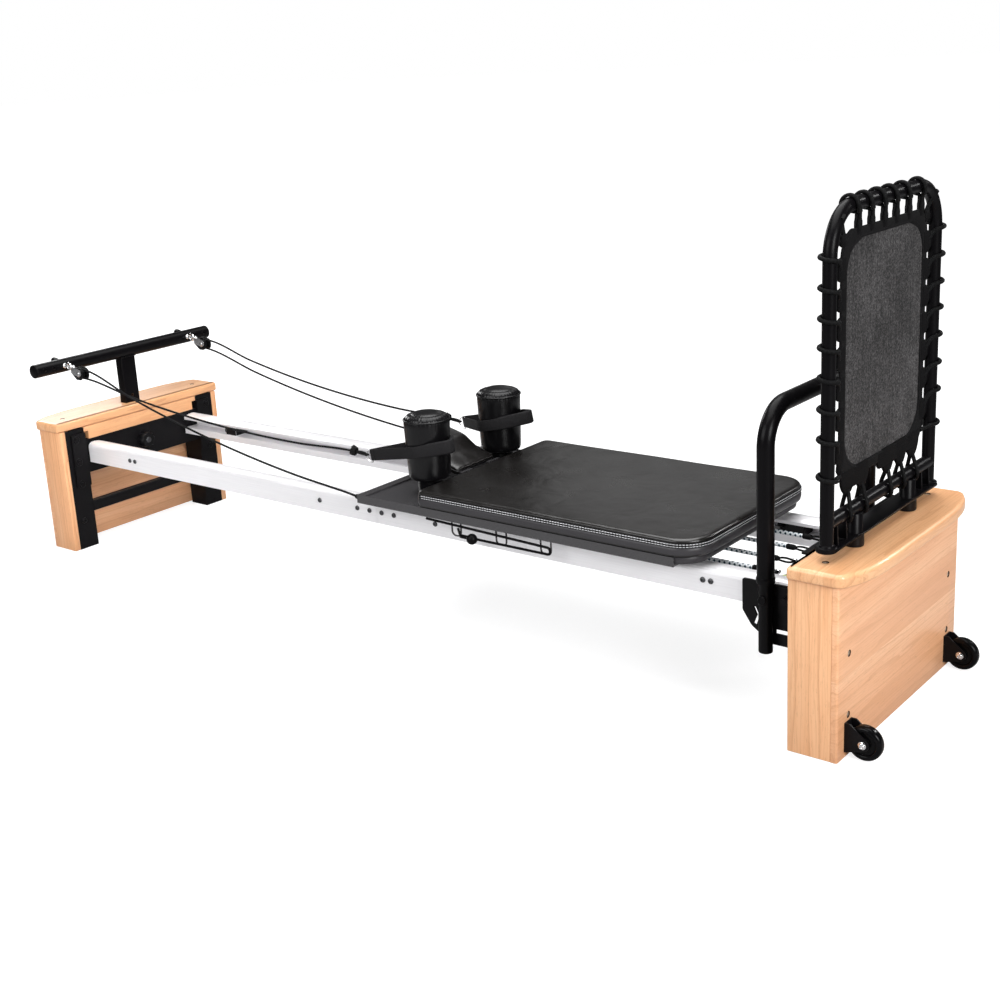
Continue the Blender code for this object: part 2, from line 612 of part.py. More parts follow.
# ---------------------------------------------------------------- rebounder
def rebounder():
    corners = [(REB_X, -REB_HALF, REB_FOOT), (REB_X, -REB_HALF, REB_TOP),
               (REB_X, REB_HALF, REB_TOP), (REB_X, REB_HALF, REB_FOOT)]
    frame = tube("rebounder_frame", bent_path(corners, REB_BEND), REB_R, 5)
    extras = [
        cylinder("lower", (REB_X, -REB_HALF, REB_LOWER), (REB_X, REB_HALF, REB_LOWER), REB_R, 16),
        box("base", (1.145, -REB_HALF - 0.001, 0.3985), (1.190, REB_HALF + 0.001, 0.4035)),
    ]
    for side, sign in SIDES.items():
        extras.append(cylinder(f"disc_{side}", (REB_X, sign * REB_HALF, 0.3955),
                               (REB_X, sign * REB_HALF, 0.4055), 0.019, 20))
        x, y = REB_X + 0.003, sign * REB_POST_Y
        extras.append(cylinder(f"post_{side}", (x, y, REB_POST_BOTTOM), (x, y, 0.440),
                               REB_POST_R, 24))
        extras.append(cylinder(f"collar_{side}", (x, y, CAP_TOP + GAP), (x, y, 0.397), 0.0185, 24))
    for index, y in enumerate((-0.212, -0.175, 0.175, 0.212)):
        extras.append(box(f"gusset_{index}", (REB_X - 0.011, y - 0.002, 0.402),
                          (REB_X + 0.011, y + 0.002, 0.450)))
    finish(join(frame, *extras), BLACK_STEEL, (REB_X, 0, CAP_TOP))

    outline = rounded([(-MAT_HALF, MAT_LOW, 0.06), (MAT_HALF, MAT_LOW, 0.06),
                       (MAT_HALF, MAT_HIGH, 0.06), (-MAT_HALF, MAT_HIGH, 0.06)])
    mat = plate("rebounder_mat", [outline], REB_X - MAT_THICK / 2, REB_X + MAT_THICK / 2, "X")
    finish(mat, MESH)


# ---------------------------------------------------------------- transport wheels
def transport_wheel(side):
    sign = SIDES[side]
    y = sign * WHEEL_Y
    face = BOX_OUT - 0.001 + GAP
    steps = 6
    nose = [
        (WHEEL_X + 0.013 * math.cos(angle), WHEEL_Z + 0.013 * math.sin(angle))
        for angle in (math.radians(60 - 140 * step / steps) for step in range(steps + 1))
    ]
    outline = [(face, 0.012), (face, 0.072), (face + 0.012, 0.072)] + nose
    plates = []
    for index, inward in enumerate((-1, 1)):
        ys = sorted((y + inward * 0.0125, y + inward * 0.0155))
        plates.append(plate(f"cheek_{index}", [outline], ys[0], ys[1], "Y"))
    base = box(f"wheel_fork_{side}", (face, y - 0.0145, 0.0560), (face + 0.003, y + 0.0145, 0.0720))
    axle = cylinder("axle", (WHEEL_X, y - 0.0175, WHEEL_Z), (WHEEL_X, y + 0.0175, WHEEL_Z),
                    AXLE_R, 16)
    finish(join(base, *plates, axle), BLACK_STEEL)

    half, soft, bore = WHEEL_WIDTH / 2, 0.004, AXLE_R + GAP
    profile = [(WHEEL_R - soft, half), (WHEEL_R - 0.0012, half - 0.0012), (WHEEL_R, half - soft),
               (WHEEL_R, -half + soft), (WHEEL_R - 0.0012, -half + 0.0012),
               (WHEEL_R - soft, -half), (bore, -half), (bore, half), (WHEEL_R - soft, half)]
    wheel = as_mesh(turned(f"transport_wheel_{side}", profile, (0, 0, 0), 24))
    wheel.data.transform(Matrix.Rotation(math.pi / 2, 4, "X"))
    wheel.location = (WHEEL_X, y, WHEEL_Z)
    finish(wheel, RUBBER)


# ---------------------------------------------------------------- carriage
def roller_centre(x, sign):
    return Vector((x, sign * ROLLER_Y, TRACK + ROLLER_R + GAP))


def carriage_tray():
    """A shallow pan with a raised head plate; the rollers hang under it inside the rails."""
    pan = box("carriage_tray", (TRAY_HEAD, -TRAY_HALF, TRAY_LOW), (TRAY_FOOT, TRAY_HALF, TRAY_SKIRT))
    skirt = BOARD_HALF + GAP
    pan = cut(
        pan,
        box("board_room", (TRAY_STEP, -skirt, BOARD_LOW - GAP), (TRAY_FOOT + 0.1, skirt, 0.35)),
        box("head_floor", (TRAY_HEAD + 0.024, -skirt, TRAY_FLOOR), (TRAY_STEP + 0.01, skirt, 0.36)),
        box("under_head", (TRAY_HEAD + 0.003, -skirt, 0.300),
            (TRAY_STEP - 0.003, skirt, TRAY_FLOOR - 0.0035)),
    )
    extras = [
        box("hinge_block", (0.1555, -0.078, TRAY_FLOOR - 0.001), (0.1705, 0.078, 0.352)),
        cylinder("hinge_pin", (HINGE_X, -0.070, HINGE_Z), (HINGE_X, 0.070, HINGE_Z), 0.0022, 12),
    ]
    for side, sign in SIDES.items():
        ys = sorted((sign * 0.030, sign * 0.072))
        extras.append(box(f"knuckle_{side}", (HINGE_X - 0.004, ys[0], 0.350),
                          (HINGE_X + 0.004, ys[1], HINGE_Z + 0.004)))
        for number, x in enumerate(ROLLER_XS):
            centre = roller_centre(x, sign)
            ys = sorted((sign * 0.138, sign * 0.144))
            top = TRAY_FLOOR - 0.002 if x < TRAY_STEP else BOARD_LOW - 0.002
            reach = min(x + 0.018, TRAY_FOOT - 0.001)
            extras.append(box(f"hanger_{side}_{number}", (reach - 0.040, ys[0], centre.z - 0.006),
                              (reach, ys[1], top)))
            start = Vector((centre.x, sign * 0.140, centre.z))
            extras.append(cylinder(f"axle_{side}_{number}", start,
                                   centre + Vector((0, sign * 0.009, 0)), AXLE_R, 12))
    # The foot rollers sit past the pan's end, so their hangers reach out on short arms.
    for side, sign in SIDES.items():
        ys = sorted((sign * 0.1385, sign * 0.1435))
        extras.append(box(f"arm_{side}", (TRAY_FOOT - 0.03, ys[0], 0.2720),
                          (ROLLER_XS[1] + 0.008, ys[1], 0.2850)))
    # Rod under the head plate that the elastic cords are tied to.
    extras.append(cylinder("cord_rod", (0.090, -0.130, ELASTIC_Z), (0.090, 0.130, ELASTIC_Z),
                           0.004, 12))
    for index, y in enumerate((-0.125, 0.0, 0.125)):
        extras.append(box(f"rod_lug_{index}", (0.086, y - 0.004, ELASTIC_Z - 0.002),
                          (0.094, y + 0.004, TRAY_FLOOR - 0.002)))
    # Three wire hoops on the right edge carry the slide wire.
    for index, (low, high) in enumerate(((0.265, 0.291), (0.391, 0.419), (0.512, 0.539))):
        corners = [(low, -0.2352, TRAY_LOW + 0.002), (low, -0.2352, 0.274),
                   (high, -0.2352, 0.274), (high, -0.2352, TRAY_LOW + 0.002)]
        extras.append(tube(f"hoop_{index}", bent_path(corners, 0.010, 4), 0.002, 2))
    finish(join(pan, *extras), BLACK_STEEL)


def slide_wire():
    """The wire latch under the right edge, bent back on itself to a ball knob."""
    y = -0.2420
    corners = [(0.196, y, 0.3035), (0.541, y, 0.293), (0.541, y, 0.278), (0.319, y, 0.278)]
    wire = tube("slide_wire", bent_path(corners, 0.007, 5), 0.0024, 2)
    bpy.ops.mesh.primitive_uv_sphere_add(segments=14, ring_count=8, radius=0.012,
                                         location=(0.319, y - 0.004, 0.278))
    ball = bpy.context.object
    ball.name = "ball"
    finish(join(wire, ball), BLACK_STEEL)


def carriage():
    carriage_tray()
    slide_wire()
    outline = rounded([
        (TRAY_STEP + 0.001, -BOARD_HALF, 0), (BOARD_FOOT, -BOARD_HALF, 0.060),
        (BOARD_FOOT, BOARD_HALF, 0.060), (TRAY_STEP + 0.001, BOARD_HALF, 0),
    ])
    finish(plate("carriage_board", [outline], BOARD_LOW, BOARD_HIGH), PLASTIC)

    outline = rounded([
        (CUSHION_HEAD, -CUSHION_HALF, 0.015), (CUSHION_FOOT, -CUSHION_HALF, 0.065),
        (CUSHION_FOOT, CUSHION_HALF, 0.065), (CUSHION_HEAD, CUSHION_HALF, 0.015),
    ])
    cushion = plate("carriage_cushion", [outline], CUSHION_LOW, CUSHION_TOP)
    add_bevel(cushion, 0.006, 2)
    finish(as_mesh(cushion), VINYL)

    for side, sign in SIDES.items():
        for number, x in enumerate(ROLLER_XS):
            name = f"roller_{('head', 'foot')[number]}_{side}"
            half, bore = 0.008, AXLE_R + GAP
            profile = [(ROLLER_R, half), (ROLLER_R, -half), (bore, -half), (bore, half),
                       (ROLLER_R, half)]
            wheel = as_mesh(turned(name, profile, (0, 0, 0), 20))
            wheel.data.transform(Matrix.Rotation(math.pi / 2, 4, "X"))
            wheel.location = roller_centre(x, sign)
            finish(wheel, PLASTIC)


def headrest():
    """Modelled flat with its hinge on the local Y axis, then tipped up."""
    pad = plate("headrest", [rounded([
        (-0.195, -0.072, 0.030), (-0.010, -0.072, 0.006), (-0.010, 0.072, 0.006),
        (-0.195, 0.072, 0.030)])], -0.001, 0.030)
    add_bevel(pad, 0.006, 2)
    board = plate("board", [rounded([
        (-0.190, -0.068, 0.028), (-0.009, -0.068, 0), (-0.009, 0.068, 0),
        (-0.190, 0.068, 0.028)])], -0.009, 0.001)
    leaf = box("leaf", (-0.014, -0.026, -0.004), (-0.001, 0.026, -0.001))
    barrel = cylinder("barrel", (0, -0.028, 0), (0, 0.028, 0), 0.0045, 14)
    bore = cylinder("bore", (0, -0.04, 0), (0, 0.04, 0), 0.0022 + GAP, 12)
    whole = cut(join(as_mesh(pad), board, leaf, barrel), bore)
    finish(whole, VINYL, (0, 0, 0))
    whole.location = (HINGE_X, 0, HINGE_Z)
    whole.rotation_euler = (0, HEADREST_TILT, 0)


def shoulder_rest(side):
    sign = SIDES[side]
    seam = 0.503
    profile = [(0.0, 0.521), (0.020, 0.5195), (0.036, 0.516), (0.046, 0.511), (0.051, 0.506),
               (0.0535, seam), (0.0525, 0.450), (0.0510, 0.400),
               (0.0495, 0.372), (0.046, 0.364), (0.030, 0.360), (0.028, TRAY_FLOOR + GAP),
               (0.0, TRAY_FLOOR + GAP)]
    centre = (SHOULDER_X, sign * SHOULDER_Y, 0)
    finish(as_mesh(turned(f"shoulder_rest_{side}", profile, centre, 24)), VINYL)


def strap(side):
    """A webbing loop hung round its shoulder rest, with the ring that the rope is tied to."""
    sign = SIDES[side]
    middle = Vector((SHOULDER_X, SHOULDER_Y))

    def loop(radius, end_radius):
        """The taut outline round the rest, the ring end and the grip end."""
        circles = [(Vector((-0.024, 0.173)), end_radius), (Vector((0.199, 0.150)), end_radius * 1.6),
                   (middle, radius)]
        points = []
        for step in range(24):
            angle = math.radians(step * 15)
            out = Vector((math.cos(angle), math.sin(angle)))
            points.append(max((centre + out * size for centre, size in circles),
                              key=lambda point: point.dot(out)))
        kept = [points[0]]
        for point in points[1:]:
            if (point - kept[-1]).length > 0.0005:
                kept.append(point)
        return kept

    inner, outer = loop(0.0565, 0.004), loop(0.0565 + STRAP_THICK, 0.004 + STRAP_THICK)
    band = plate(f"strap_{side}", [[(p.x - 0.085, sign * p.y) for p in outer],
                                   [(p.x - 0.085, sign * p.y) for p in inner]],
                 -STRAP_WIDTH / 2, STRAP_WIDTH / 2)
    band.matrix_world = (Matrix.Translation((0.085, 0, 0.4280))
                         @ Matrix.Rotation(-STRAP_TILT, 4, "Y") @ band.matrix_world)
    bpy.context.view_layer.update()
    d_ring = ring("d_ring", (-0.037, sign * 0.1735, 0.4035), 0.010, 0.002, "Z")
    finish(join(band, d_ring), WEBBING)


# ---------------------------------------------------------------- ropes and elastic cords
def rope_route(side):
    """From the strap's ring round the sheave and back to the carriage's corner.

    The right rope leaves the sheave's top for the corner; the left one leaves its bottom.
    """
    sign = SIDES[side]
    wrap = SHEAVE_GROOVE + ROPE_R + 0.0004
    y = PULLEY_Y
    ring_end = [(-0.0515, 0.1740, 0.4060), (-0.0745, 0.1745, 0.4075)]
    corner_end = [(-0.0185, 0.2350, 0.3190), (-0.040, 0.2350, 0.3220)]
    top, bottom = SHEAVE_Z + wrap, SHEAVE_Z - wrap
    to_ring = bottom if side == "right" else top
    to_corner = top if side == "right" else bottom
    sag = 0.030

    def span(start, end, steps=5):
        start, end = Vector(start), Vector(end)
        points = []
        for step in range(1, steps):
            t = step / steps
            points.append(start.lerp(end, t) - Vector((0, 0, 4 * sag * t * (1 - t))))
        return points

    leave = SHEAVE_X + 0.012
    out_ring = (leave, y, to_ring - 0.0004)
    out_corner = (leave, y, to_corner - 0.0012)
    swing = -1 if to_ring > SHEAVE_Z else 1
    around = [
        (SHEAVE_X - wrap * math.cos(angle), y, SHEAVE_Z - swing * wrap * math.sin(angle))
        for angle in (math.radians(90 - 30 * step) for step in range(7))
    ]
    knots = (ring_end + span(ring_end[-1], out_ring) + [out_ring] + around + [out_corner]
             + span(out_corner, corner_end[-1]) + list(reversed(corner_end)))
    return mirror_y([tuple(knot) for knot in knots], sign)


def ropes():
    for side in SIDES:
        knots = rope_route(side)
        route = smooth_route(knots, 0.050)
        # The wrap round the sheave needs closer points than the long runs.
        tight = smooth_route(knots, 0.004)
        near = [p for p in tight if p.x < SHEAVE_X + 0.03]
        first = next(i for i, p in enumerate(route) if p.x < SHEAVE_X + 0.03)
        last = max(i for i, p in enumerate(route) if p.x < SHEAVE_X + 0.03)
        points = route[:first] + near + route[last + 1:]
        finish(tube(f"rope_{side}", points, ROPE_R, 2), WEBBING)


def elastic_cords():
    for number, y in enumerate(ELASTIC_YS, 1):
        cord = cylinder(f"elastic_cord_{number}", (ELASTIC_START, y, ELASTIC_Z),
                        (ELASTIC_END, y, ELASTIC_Z), ELASTIC_R, 10)
        hook = cylinder("hook", (ELASTIC_END - 0.01, y, ELASTIC_Z),
                        (FOOT_IN - STEEL - 2 * GAP, y, ELASTIC_Z), 0.0022, 10)
        finish(join(cord, hook), ELASTIC)


# ---------------------------------------------------------------- the whole object
end_boxes()
for end_name in ENDS:
    for side_name in SIDES:
        leg(end_name, side_name)
cross_members()
rails()
pulley_bar()
for side_name in SIDES:
    pulley(side_name)
    transport_wheel(side_name)
    shoulder_rest(side_name)
    strap(side_name)
foot_bar()
rebounder()
carriage()
headrest()
ropes()
elastic_cords()

for part in PARTS.objects:
    part.location.x -= MID_X
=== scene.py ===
"""Looks of the pilates reformer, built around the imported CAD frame.

Pieces are written in the rail frame of part.py (x = 0 at the middle of the rails) and then shifted
by MID_X, as the CAD is. -Y is the user's right-hand side. Metres throughout.
"""

from math import cos, exp, pi, radians, sin, tan

import bmesh
import bpy
from mathutils import Matrix, Vector, noise


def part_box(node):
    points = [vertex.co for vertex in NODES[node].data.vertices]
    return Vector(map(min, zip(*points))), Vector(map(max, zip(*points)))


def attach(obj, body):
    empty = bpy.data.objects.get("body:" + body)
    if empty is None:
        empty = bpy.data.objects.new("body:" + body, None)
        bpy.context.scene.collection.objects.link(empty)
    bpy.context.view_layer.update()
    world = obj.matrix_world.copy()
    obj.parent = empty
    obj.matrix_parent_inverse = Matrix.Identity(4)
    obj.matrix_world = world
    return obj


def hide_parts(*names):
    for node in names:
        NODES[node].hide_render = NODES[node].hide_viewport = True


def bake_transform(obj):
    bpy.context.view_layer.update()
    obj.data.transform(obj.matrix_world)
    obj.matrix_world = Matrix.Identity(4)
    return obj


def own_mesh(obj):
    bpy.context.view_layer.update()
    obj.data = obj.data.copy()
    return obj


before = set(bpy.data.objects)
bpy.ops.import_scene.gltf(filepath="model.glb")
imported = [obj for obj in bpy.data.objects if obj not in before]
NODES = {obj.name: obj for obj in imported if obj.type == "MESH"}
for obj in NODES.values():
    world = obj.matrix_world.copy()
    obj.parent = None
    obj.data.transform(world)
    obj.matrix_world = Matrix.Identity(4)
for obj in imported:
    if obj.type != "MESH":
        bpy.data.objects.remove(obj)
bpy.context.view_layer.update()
MID_X = 0.0155
SIDES = {"right": -1, "left": 1}

# ---------------------------------------------------------------- camera, lights, floor
scene = bpy.context.scene
scene.view_settings.view_transform = "Standard"

FOCAL = 1433.89                                  # in pixels of a 1000-pixel-wide frame
CAMERA = Vector((2.266 - MID_X, -2.5347, 1.3128))
YAW, PITCH, ROLL = -0.69107, -0.28039, -0.05731
SHIFT = (0.0174, -0.0362)

forward = Vector((sin(YAW) * cos(PITCH), cos(YAW) * cos(PITCH), sin(PITCH)))
level = Vector((cos(YAW), -sin(YAW), 0))
upright = level.cross(forward)
right = cos(ROLL) * level + sin(ROLL) * upright
above = -sin(ROLL) * level + cos(ROLL) * upright

camera = bpy.data.objects.new("camera", bpy.data.cameras.new("camera"))
scene.collection.objects.link(camera)
camera.matrix_world = Matrix.Translation(CAMERA) @ Matrix((right, above, -forward)).transposed().to_4x4()
camera.data.sensor_width = 36
camera.data.lens = 36 * FOCAL / 1000
camera.data.shift_x, camera.data.shift_y = SHIFT
scene.camera = camera


def area_light(name, place, aim, size, power, spread=180):
    light = bpy.data.objects.new(name, bpy.data.lights.new(name, "AREA"))
    scene.collection.objects.link(light)
    light.location = place
    light.rotation_euler = (Vector(aim) - Vector(place)).to_track_quat("-Z", "Y").to_euler()
    light.data.shape = "RECTANGLE"
    light.data.size, light.data.size_y = size
    light.data.energy = power
    light.data.spread = radians(spread)


area_light("overhead", (0.3, 0.2, 3.4), (0, 0, 0.3), (4.5, 2.6), 185)
area_light("key", (-0.8, -4.2, 2.6), (0.1, 0, 0.3), (3.0, 2.2), 128)
area_light("end_fill", (4.6, -1.6, 2.0), (1.2, 0, 0.25), (1.6, 1.6), 165)
area_light("back_sheen", (-1.75, 3.9, 1.9), (0.5, 0, 0.38), (1.4, 1.3), 2.9)
area_light("edge_sheen", (2.35, 2.7, 2.1), (1.2, 0, 0.38), (0.16, 0.4), 1.2, 35)
area_light("head_fill", (1.1, -2.0, 1.0), (-1.15, 0, 0.2), (0.5, 0.5), 0.75, 25)
area_light("far_fill", (-4.6, 1.6, 2.2), (-1.2, 0, 0.3), (1.6, 1.4), 60)


world = bpy.data.worlds.new("studio")
scene.world = world
world.use_nodes = True
background = world.node_tree.nodes["Background"]
background.inputs["Color"].default_value = (1, 1, 1, 1)
seen = world.node_tree.nodes.new("ShaderNodeLightPath")
strength = world.node_tree.nodes.new("ShaderNodeMapRange")
strength.inputs["To Min"].default_value = 0.07       # what lights the object
world.node_tree.links.new(seen.outputs["Is Camera Ray"], strength.inputs["Value"])
world.node_tree.links.new(strength.outputs[0], background.inputs["Strength"])


# ---------------------------------------------------------------- materials
def times(colour, factor):
    return tuple(c * factor for c in colour)


def turns(step, start=0, stop=360):
    """Angles in radians, for whole steps in degrees."""
    return [radians(degrees) for degrees in range(start, stop, step)]


class Finish:
    """A material and short ways to add nodes to it."""

    def __init__(self, name, colour, roughness, metallic=0.0, specular=0.5, coat=0.0):
        self.material = bpy.data.materials.new(name)
        self.material.use_nodes = True
        self.tree = self.material.node_tree
        self.shader = self.tree.nodes["Principled BSDF"]
        self.set(Roughness=roughness, Metallic=metallic)
        self.shader.inputs["Base Color"].default_value = (*colour, 1)
        self.shader.inputs["Specular IOR Level"].default_value = specular
        if coat:
            self.shader.inputs["Coat Weight"].default_value = coat
            self.shader.inputs["Coat Roughness"].default_value = 0.16

    def set(self, **values):
        for name, value in values.items():
            self.shader.inputs[name].default_value = value

    def add(self, kind, inputs=(), **settings):
        node = self.tree.nodes.new(kind)
        for name, value in settings.items():
            setattr(node, name, value)
        for name, value in dict(inputs).items():
            if isinstance(value, bpy.types.NodeSocket):
                self.tree.links.new(value, node.inputs[name])
            else:
                node.inputs[name].default_value = value
        return node

    def link(self, output, socket):
        self.tree.links.new(output, self.shader.inputs[socket])

    def place(self, scale=(1, 1, 1), kind="Object"):
        coordinates = self.add("ShaderNodeTexCoord")
        mapping = self.add("ShaderNodeMapping", {"Vector": coordinates.outputs[kind], "Scale": scale})
        return mapping.outputs["Vector"]

    def noise(self, vector, scale, detail=4, roughness=0.55, distortion=0.0):
        node = self.add("ShaderNodeTexNoise", {"Vector": vector, "Scale": scale, "Detail": detail,
                                               "Roughness": roughness, "Distortion": distortion})
        return node.outputs["Fac"]

    def ramp(self, factor, stops):
        node = self.add("ShaderNodeValToRGB", {"Fac": factor})
        ramp = node.color_ramp
        while len(ramp.elements) < len(stops):
            ramp.elements.new(0.5)
        for element, (position, colour) in zip(ramp.elements, stops):
            element.position = position
            element.color = (*colour, 1)
        return node.outputs["Color"]

    def math(self, operation, a, b=0.0):
        node = self.add("ShaderNodeMath", {0: a, 1: b}, operation=operation)
        return node.outputs[0]

    def weave(self, pitch):
        """Two thread directions crossed in the object's Y and Z."""
        split = self.add("ShaderNodeSeparateXYZ", {"Vector": self.place()})
        waves = [self.math("SINE", self.math("MULTIPLY", split.outputs[axis], 2 * pi / pitch))
                 for axis in (1, 2)]
        return self.math("MULTIPLY", *waves)

    def vary_roughness(self, value, low, high):
        node = self.add("ShaderNodeMapRange", {"Value": value, "From Min": 0.3, "From Max": 0.7,
                                               "To Min": low, "To Max": high})
        self.link(node.outputs[0], "Roughness")

    def mix(self, factor, a, b):
        node = self.add("ShaderNodeMix", data_type="RGBA", blend_type="MIX")
        for name, value in (("Factor_Float", factor), ("A_Color", a), ("B_Color", b)):
            socket = next(s for s in node.inputs if s.identifier == name)
            if isinstance(value, bpy.types.NodeSocket):
                self.tree.links.new(value, socket)
            else:
                socket.default_value = value if name == "Factor_Float" else (*value, 1)
        return next(s for s in node.outputs if s.identifier == "Result_Color")

    def bump(self, height, strength, distance, under=None):
        inputs = {"Height": height, "Strength": strength, "Distance": distance}
        if under is not None:
            inputs["Normal"] = under
        node = self.add("ShaderNodeBump", inputs)
        self.link(node.outputs["Normal"], "Normal")
        return node.outputs["Normal"]


def wood(name, along, across, tint=(1, 1, 1), stave=0.085, phase=0.0, contrast=1.0, coat=0.35):
    """Lacquered light hardwood: growth lines along one axis, staves glued up across another."""
    made = Finish(name, (0.8, 0.5, 0.28), 0.42, coat=coat)
    stretch = [1.0, 1.0, 1.0]
    stretch["xyz".index(along)] = 0.08
    split = made.add("ShaderNodeSeparateXYZ", {"Vector": made.place()})
    step = made.math("FLOOR", made.math("DIVIDE", made.math("ADD", split.outputs["xyz".index(across)],
                                                            phase), stave))
    tone = made.add("ShaderNodeTexWhiteNoise", {"W": step}, noise_dimensions="1D").outputs["Value"]
    drift = made.add("ShaderNodeCombineXYZ", {"X": tone, "Y": tone, "Z": tone}).outputs[0]
    shifted = made.add("ShaderNodeVectorMath", {0: made.place(stretch), 1: drift},
                       operation="ADD").outputs[0]
    cloud = made.noise(shifted, 15, 4, 0.55, 0.4)
    fine = made.noise(shifted, 210, 3, 0.6)
    pores = made.noise(shifted, 560, 2, 0.6)
    light, middle, dark = [tuple(c * t for c, t in zip(colour, tint)) for colour in
                           ((0.85, 0.5, 0.28), (0.78, 0.412, 0.212), (0.6, 0.275, 0.128))]
    colour = made.ramp(cloud, [(0.3, tuple(0.5 * (a + b) for a, b in zip(middle, dark))),
                               (0.46, middle), (0.64, light)])
    # Two layers of growth rings: wide ones, and finer ones between them.
    for scale, distortion, detail, rough, knee, grey, end, share in (
            (11.0, 11.0, 1.1, 0.62, 0.8, 0.1, 0.96, 0.5), (43.0, 13.0, 0.8, 0.6, 0.62, 0.05, 0.95, 0.3)):
        rings = made.add("ShaderNodeTexWave", {"Vector": shifted, "Scale": scale, "Detail": 3.0,
                                               "Distortion": distortion, "Detail Scale": detail,
                                               "Detail Roughness": rough},
                         bands_direction=across.upper(), wave_profile="SAW").outputs["Fac"]
        ring = made.ramp(rings, [(0.0, (0, 0, 0)), (knee, (grey, grey, grey)), (end, (1, 1, 1))])
        colour = made.mix(made.math("MULTIPLY", ring, share * contrast), colour, dark)
    colour = made.mix(made.math("MULTIPLY", made.math("GREATER_THAN", fine, 0.6), 0.2), colour, dark)
    streak = made.math("MULTIPLY", made.math("GREATER_THAN", pores, 0.65), 0.3)
    colour = made.mix(streak, colour, times(dark, 0.55))
    colour = made.mix(made.math("MULTIPLY", tone, 0.3), colour, middle)
    made.link(colour, "Base Color")
    made.bump(made.math("ADD", fine, made.math("MULTIPLY", streak, -1.0)), 0.12, 0.0005)
    return made.material


def powder(name, colour=(0.0046, 0.0042, 0.0048), roughness=0.36, specular=0.105):
    """Satin powder coat: fine orange peel and slightly uneven gloss."""
    made = Finish(name, colour, roughness, specular=specular)
    vector = made.place()
    peel = made.noise(vector, 900, 2)
    patch = made.noise(vector, 9, 3)
    made.vary_roughness(patch, roughness - 0.02, roughness + 0.07)
    made.link(made.ramp(peel, [(0.3, times(colour, 0.75)),
                               (0.75, times(colour, 1.5))]), "Base Color")
    made.bump(peel, 0.1, 0.0004)
    return made.material


def aluminium():
    made = Finish("aluminium_extrusion", (0.9, 0.89, 0.91), 0.36, metallic=0.36)
    vector = made.place((0.02, 1, 1))
    drawn = made.noise(vector, 420, 2)
    smears = made.noise(made.place((0.6, 1, 1)), 14, 4)
    made.vary_roughness(smears, 0.3, 0.38)
    made.link(made.ramp(drawn, [(0.25, (0.86, 0.85, 0.87)), (0.8, (0.94, 0.93, 0.95))]), "Base Color")
    made.bump(drawn, 0.04, 0.0003)
    return made.material


def leatherette(name, colour=(0.0058, 0.005, 0.0047), roughness=0.29, specular=0.5, grain=0.03):
    """Upholstery vinyl: a fine pebble grain over faint creases."""
    made = Finish(name, colour, roughness, specular=specular)
    vector = made.place()
    pebbles = made.add("ShaderNodeTexVoronoi", {"Vector": vector, "Scale": 520.0},
                       feature="SMOOTH_F1").outputs["Distance"]
    creases = made.noise(vector, 13, 2, 0.5, 0.4)
    cloud = made.noise(vector, 5, 3)
    made.link(made.ramp(cloud, [(0.3, times(colour, 0.86)),
                                (0.7, times(colour, 1.16))]), "Base Color")
    made.vary_roughness(creases, roughness - 0.02, roughness + 0.03)
    under = made.bump(creases, 0.4, 0.006)
    made.bump(pebbles, grain, 0.0002, under)
    return made.material


def moulded(name, colour, roughness, scale=1400, specular=0.3):
    """Moulded plastic or rubber with a faint spark-eroded texture."""
    made = Finish(name, colour, roughness, specular=specular)
    vector = made.place()
    texture = made.noise(vector, scale, 2)
    made.link(made.ramp(made.noise(vector, 40, 3), [(0.3, times(colour, 0.8)),
                                                   (0.7, times(colour, 1.25))]),
              "Base Color")
    made.bump(texture, 0.12, 0.0003)
    return made.material


def woven(name, colour, pitch, specular=0.12):
    """Two crossed thread directions in object space, with painted highlights on the thread crowns and
    painted shade between them.
    """
    made = Finish(name, colour, 0.75, specular=specular)
    weave = made.weave(pitch)
    fuzz = made.noise(made.place(), 700, 3)
    relief = made.math("ADD", made.math("MULTIPLY", weave, 0.5), fuzz)
    # Colour follows the weave's height: painted shade in the low places, painted highlight on the crowns;
    # the fuzz adds random tone.
    made.link(made.ramp(relief, [(0.15, times(colour, 0.5)),
                                 (0.95, times(colour, 1.5))]), "Base Color")
    made.bump(relief, 0.35, 0.0005)
    return made.material


def mesh_cloth(name, colour, pitch):
    """Open technical mesh: fine threads, faint warp streaks, and bright specks that are painted glints where
    yarns cross.
    """
    made = Finish(name, colour, 0.72, specular=0.25)
    weave = made.weave(pitch)
    specks = made.noise(made.place(), 270, 2, 0.8)
    warp = made.noise(made.place((1, 1, 0.05)), 170, 3, 0.7)
    cloud = made.noise(made.place(), 6, 3)
    relief = made.math("ADD", made.math("MULTIPLY", weave, 0.1), specks)
    relief = made.math("ADD", relief, made.math("MULTIPLY", made.math("SUBTRACT", warp, 0.5), 0.3))
    relief = made.math("ADD", relief, made.math("MULTIPLY", made.math("SUBTRACT", cloud, 0.5), 0.3))
    # Warp streaks and cloud are random tone; the weave and the bright specks are painted highlight on the
    # yarns.
    made.link(made.ramp(relief, [(0.34, times(colour, 0.18)), (0.5, colour),
                                 (0.7, times(colour, 3.4))]), "Base Color")
    made.bump(made.math("ADD", weave, specks), 0.5, 0.0005)
    return made.material


def braided(name, stops, winds):
    """A braided sleeve: strands that wind both ways along the piece's own length."""
    made = Finish(name, stops[0][1], 0.7, specular=0.12)
    split = made.add("ShaderNodeSeparateXYZ", {"Vector": made.place(kind="UV")})
    along = made.math("MULTIPLY", split.outputs[1], winds)
    waves = []
    for sign in (1, -1):
        around = made.math("MULTIPLY", split.outputs[0], sign * 2.0)
        turn = made.math("MULTIPLY", made.math("ADD", along, around), 2 * pi)
        waves.append(made.math("SINE", turn))
    strands = made.math("MAXIMUM", waves[0], waves[1])
    half = made.math("ADD", made.math("MULTIPLY", strands, 0.5), 0.5)
    made.link(made.ramp(half, stops), "Base Color")
    made.bump(half, 0.4, 0.0006)
    return made.material


